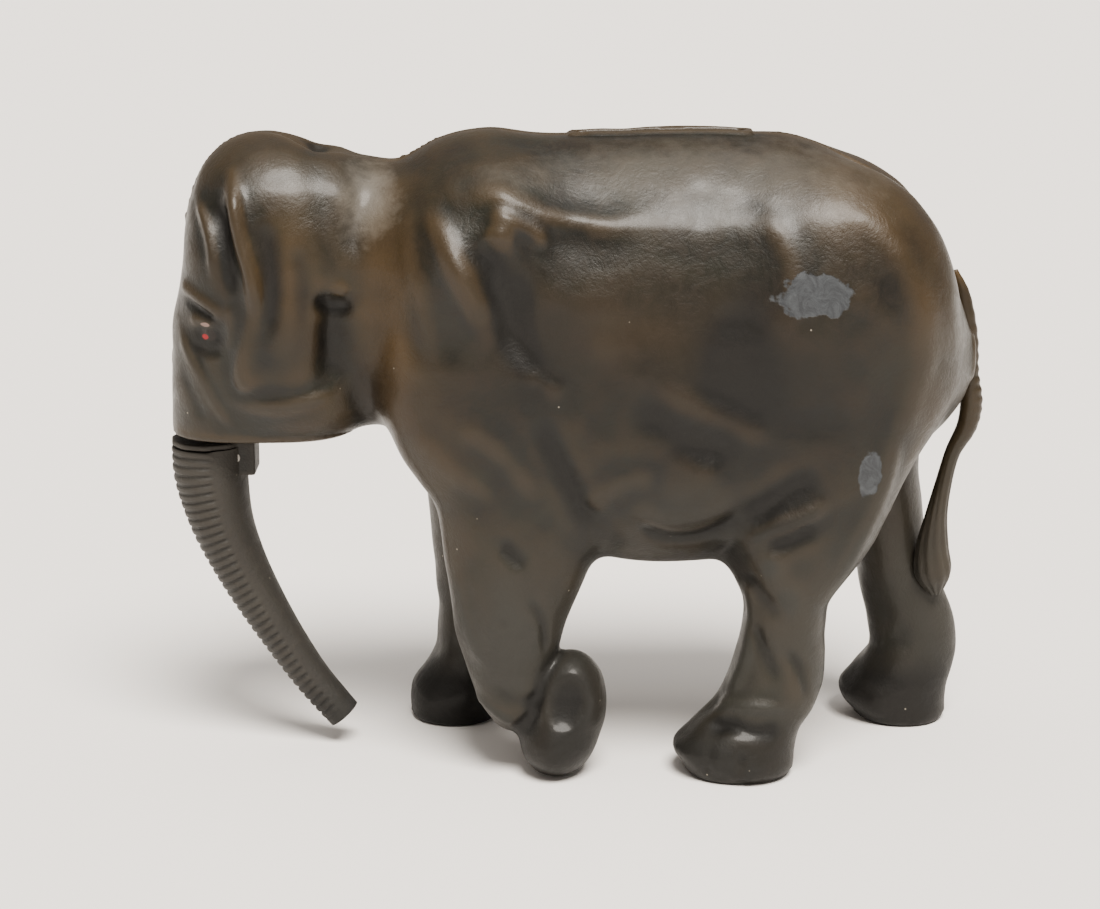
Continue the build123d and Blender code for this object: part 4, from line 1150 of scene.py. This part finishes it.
def workedMetal(look):
    made, tree = newMaterial(look["name"])
    coords = node(tree, "ShaderNodeTexCoord").outputs["Object"]
    blotch = {"Scale": 1 / (look["cloud"] * mm), "Detail": 5.0, "Roughness": 0.65}
    cloud = node(tree, "ShaderNodeTexNoise", blotch, {"Vector": coords})
    lined = node(tree, "ShaderNodeMapping", {"Scale": [1 / (v * mm) for v in look["grain"]]}, {"Vector": coords})
    lines = node(tree, "ShaderNodeTexNoise", {"Scale": 1.0, "Detail": 4.0, "Roughness": 0.7}, {"Vector": lined})
    pits = node(tree, "ShaderNodeTexVoronoi", {"Scale": 1 / (0.8 * mm), "Randomness": 1.0}, {"Vector": coords})
    pitted, even, aged, rusted = [
        node(tree, "ShaderNodeMapRange", {"From Min": low, "From Max": high}, {"Value": source})
        for source, low, high in (
            (pits.outputs["Distance"], 0.2, 0.08),
            (lines, 0.35, 0.65),
            (cloud, 0.46, 0.66),
            (cloud, 0.58, 0.7),
        )
    ]
    rusted = node(tree, "ShaderNodeMath", {"operation": "MULTIPLY"}, {0: rusted, 1: pitted})
    fresh = {"data_type": "RGBA", 6: linear(look["fresh"]), 7: linear(look["dull"])}
    colour = node(tree, "ShaderNodeMix", fresh, {0: even}).outputs[2]
    for amount, code in ((aged, look["tarnish"]), (rusted, look["rust"])):
        colour = node(tree, "ShaderNodeMix", {"data_type": "RGBA", 7: linear(code)}, {0: amount, 6: colour}).outputs[2]
    gloss = {"To Min": look["rough"][0], "To Max": look["rough"][1]}
    rough = node(tree, "ShaderNodeMapRange", gloss, {"Value": even})
    rough = node(tree, "ShaderNodeMath", {"operation": "MULTIPLY_ADD", 1: 0.2}, {0: aged, 2: rough})
    height = node(tree, "ShaderNodeMath", {"operation": "MULTIPLY_ADD", 1: -0.6}, {0: pitted, 2: lines})
    bump = node(tree, "ShaderNodeBump", {"Strength": look["bump"], "Distance": 0.1 * mm}, {"Height": height})
    metal = node(tree, "ShaderNodeMapRange", {"To Min": 1.0, "To Max": 0.25}, {"Value": rusted})
    surface = {"Base Color": colour, "Roughness": rough, "Metallic": metal, "Normal": bump}
    shader = node(tree, "ShaderNodeBsdfPrincipled", links=surface)
    node(tree, "ShaderNodeOutputMaterial", links={"Surface": shader})
    return made


for look in fittings.values():
    metal = workedMetal(look)
    for name in look["nodes"]:
        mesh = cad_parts[name].data
        mesh.materials.clear()
        mesh.materials.append(metal)
        mesh.polygons.foreach_set("material_index", [0] * len(mesh.polygons))
print("fittings given their metals")

# floor, light and camera
studio = dict(
    floorHalf=8.0, floorColour="#e9e6e3", worldColour="#f5ebe1", worldStrength=0.5,
    # sensor and lens in mm, distances in metres
    sensor=36, lens=94.18909, tilt=13.0, back=0.5, aimX=-0.00415, aimZ=0.0521,
)


def makeStage():
    s = studio["floorHalf"] / mm
    corners = [(-s, -s, -0.02), (s, -s, -0.02), (s, s, -0.02), (-s, s, -0.02)]
    floor = makeMesh("studio_floor", np.array(corners), [(0, 1, 2, 3)])
    # matt paper: even and pale
    paper, tree = newMaterial("matt white paper")
    matt = {"Base Color": linear(studio["floorColour"]), "Roughness": 0.9, "Specular IOR Level": 0.1}
    shader = node(tree, "ShaderNodeBsdfPrincipled", matt)
    node(tree, "ShaderNodeOutputMaterial", links={"Surface": shader})
    floor.data.materials.append(paper)
    world = bpy.data.worlds.new("studio")
    bpy.context.scene.world = world
    world.use_nodes = True
    sky = world.node_tree.nodes["Background"].inputs
    sky[0].default_value = linear(studio["worldColour"])
    sky[1].default_value = studio["worldStrength"]


def makeLamp(name, toward, spread, strength, colour):
    # a large soft source far off, seen spread degrees wide, that lights the whole floor alike
    data = bpy.data.lights.new(name, "SUN")
    data.angle = math.radians(spread)
    data.energy = strength
    data.color = linear(colour)[:3]
    lamp = bpy.data.objects.new(name, data)
    bpy.context.scene.collection.objects.link(lamp)
    lamp.location = Vector(toward)
    lamp.rotation_euler = Vector(toward).to_track_quat("Z", "Y").to_euler()


def makeCamera():
    data = bpy.data.cameras.new("camera")
    data.sensor_width = studio["sensor"]
    data.lens = studio["lens"]
    lens = bpy.data.objects.new("camera", data)
    bpy.context.scene.collection.objects.link(lens)
    tilt, back = math.radians(studio["tilt"]), studio["back"]
    lens.location = (studio["aimX"], -back * math.cos(tilt), studio["aimZ"] + back * math.sin(tilt))
    lens.rotation_euler = (math.radians(90) - tilt, 0, 0)
    data.clip_start = 0.01
    data.clip_end = 50
    bpy.context.scene.camera = lens


makeStage()
makeLamp("key softbox far off", (0.14, -0.50, 0.84), 28, 8.8, "#fff8ee")
makeLamp("overhead diffuser", (0.02, -0.12, 1.0), 70, 1.5, "#fffdf8")
makeCamera()
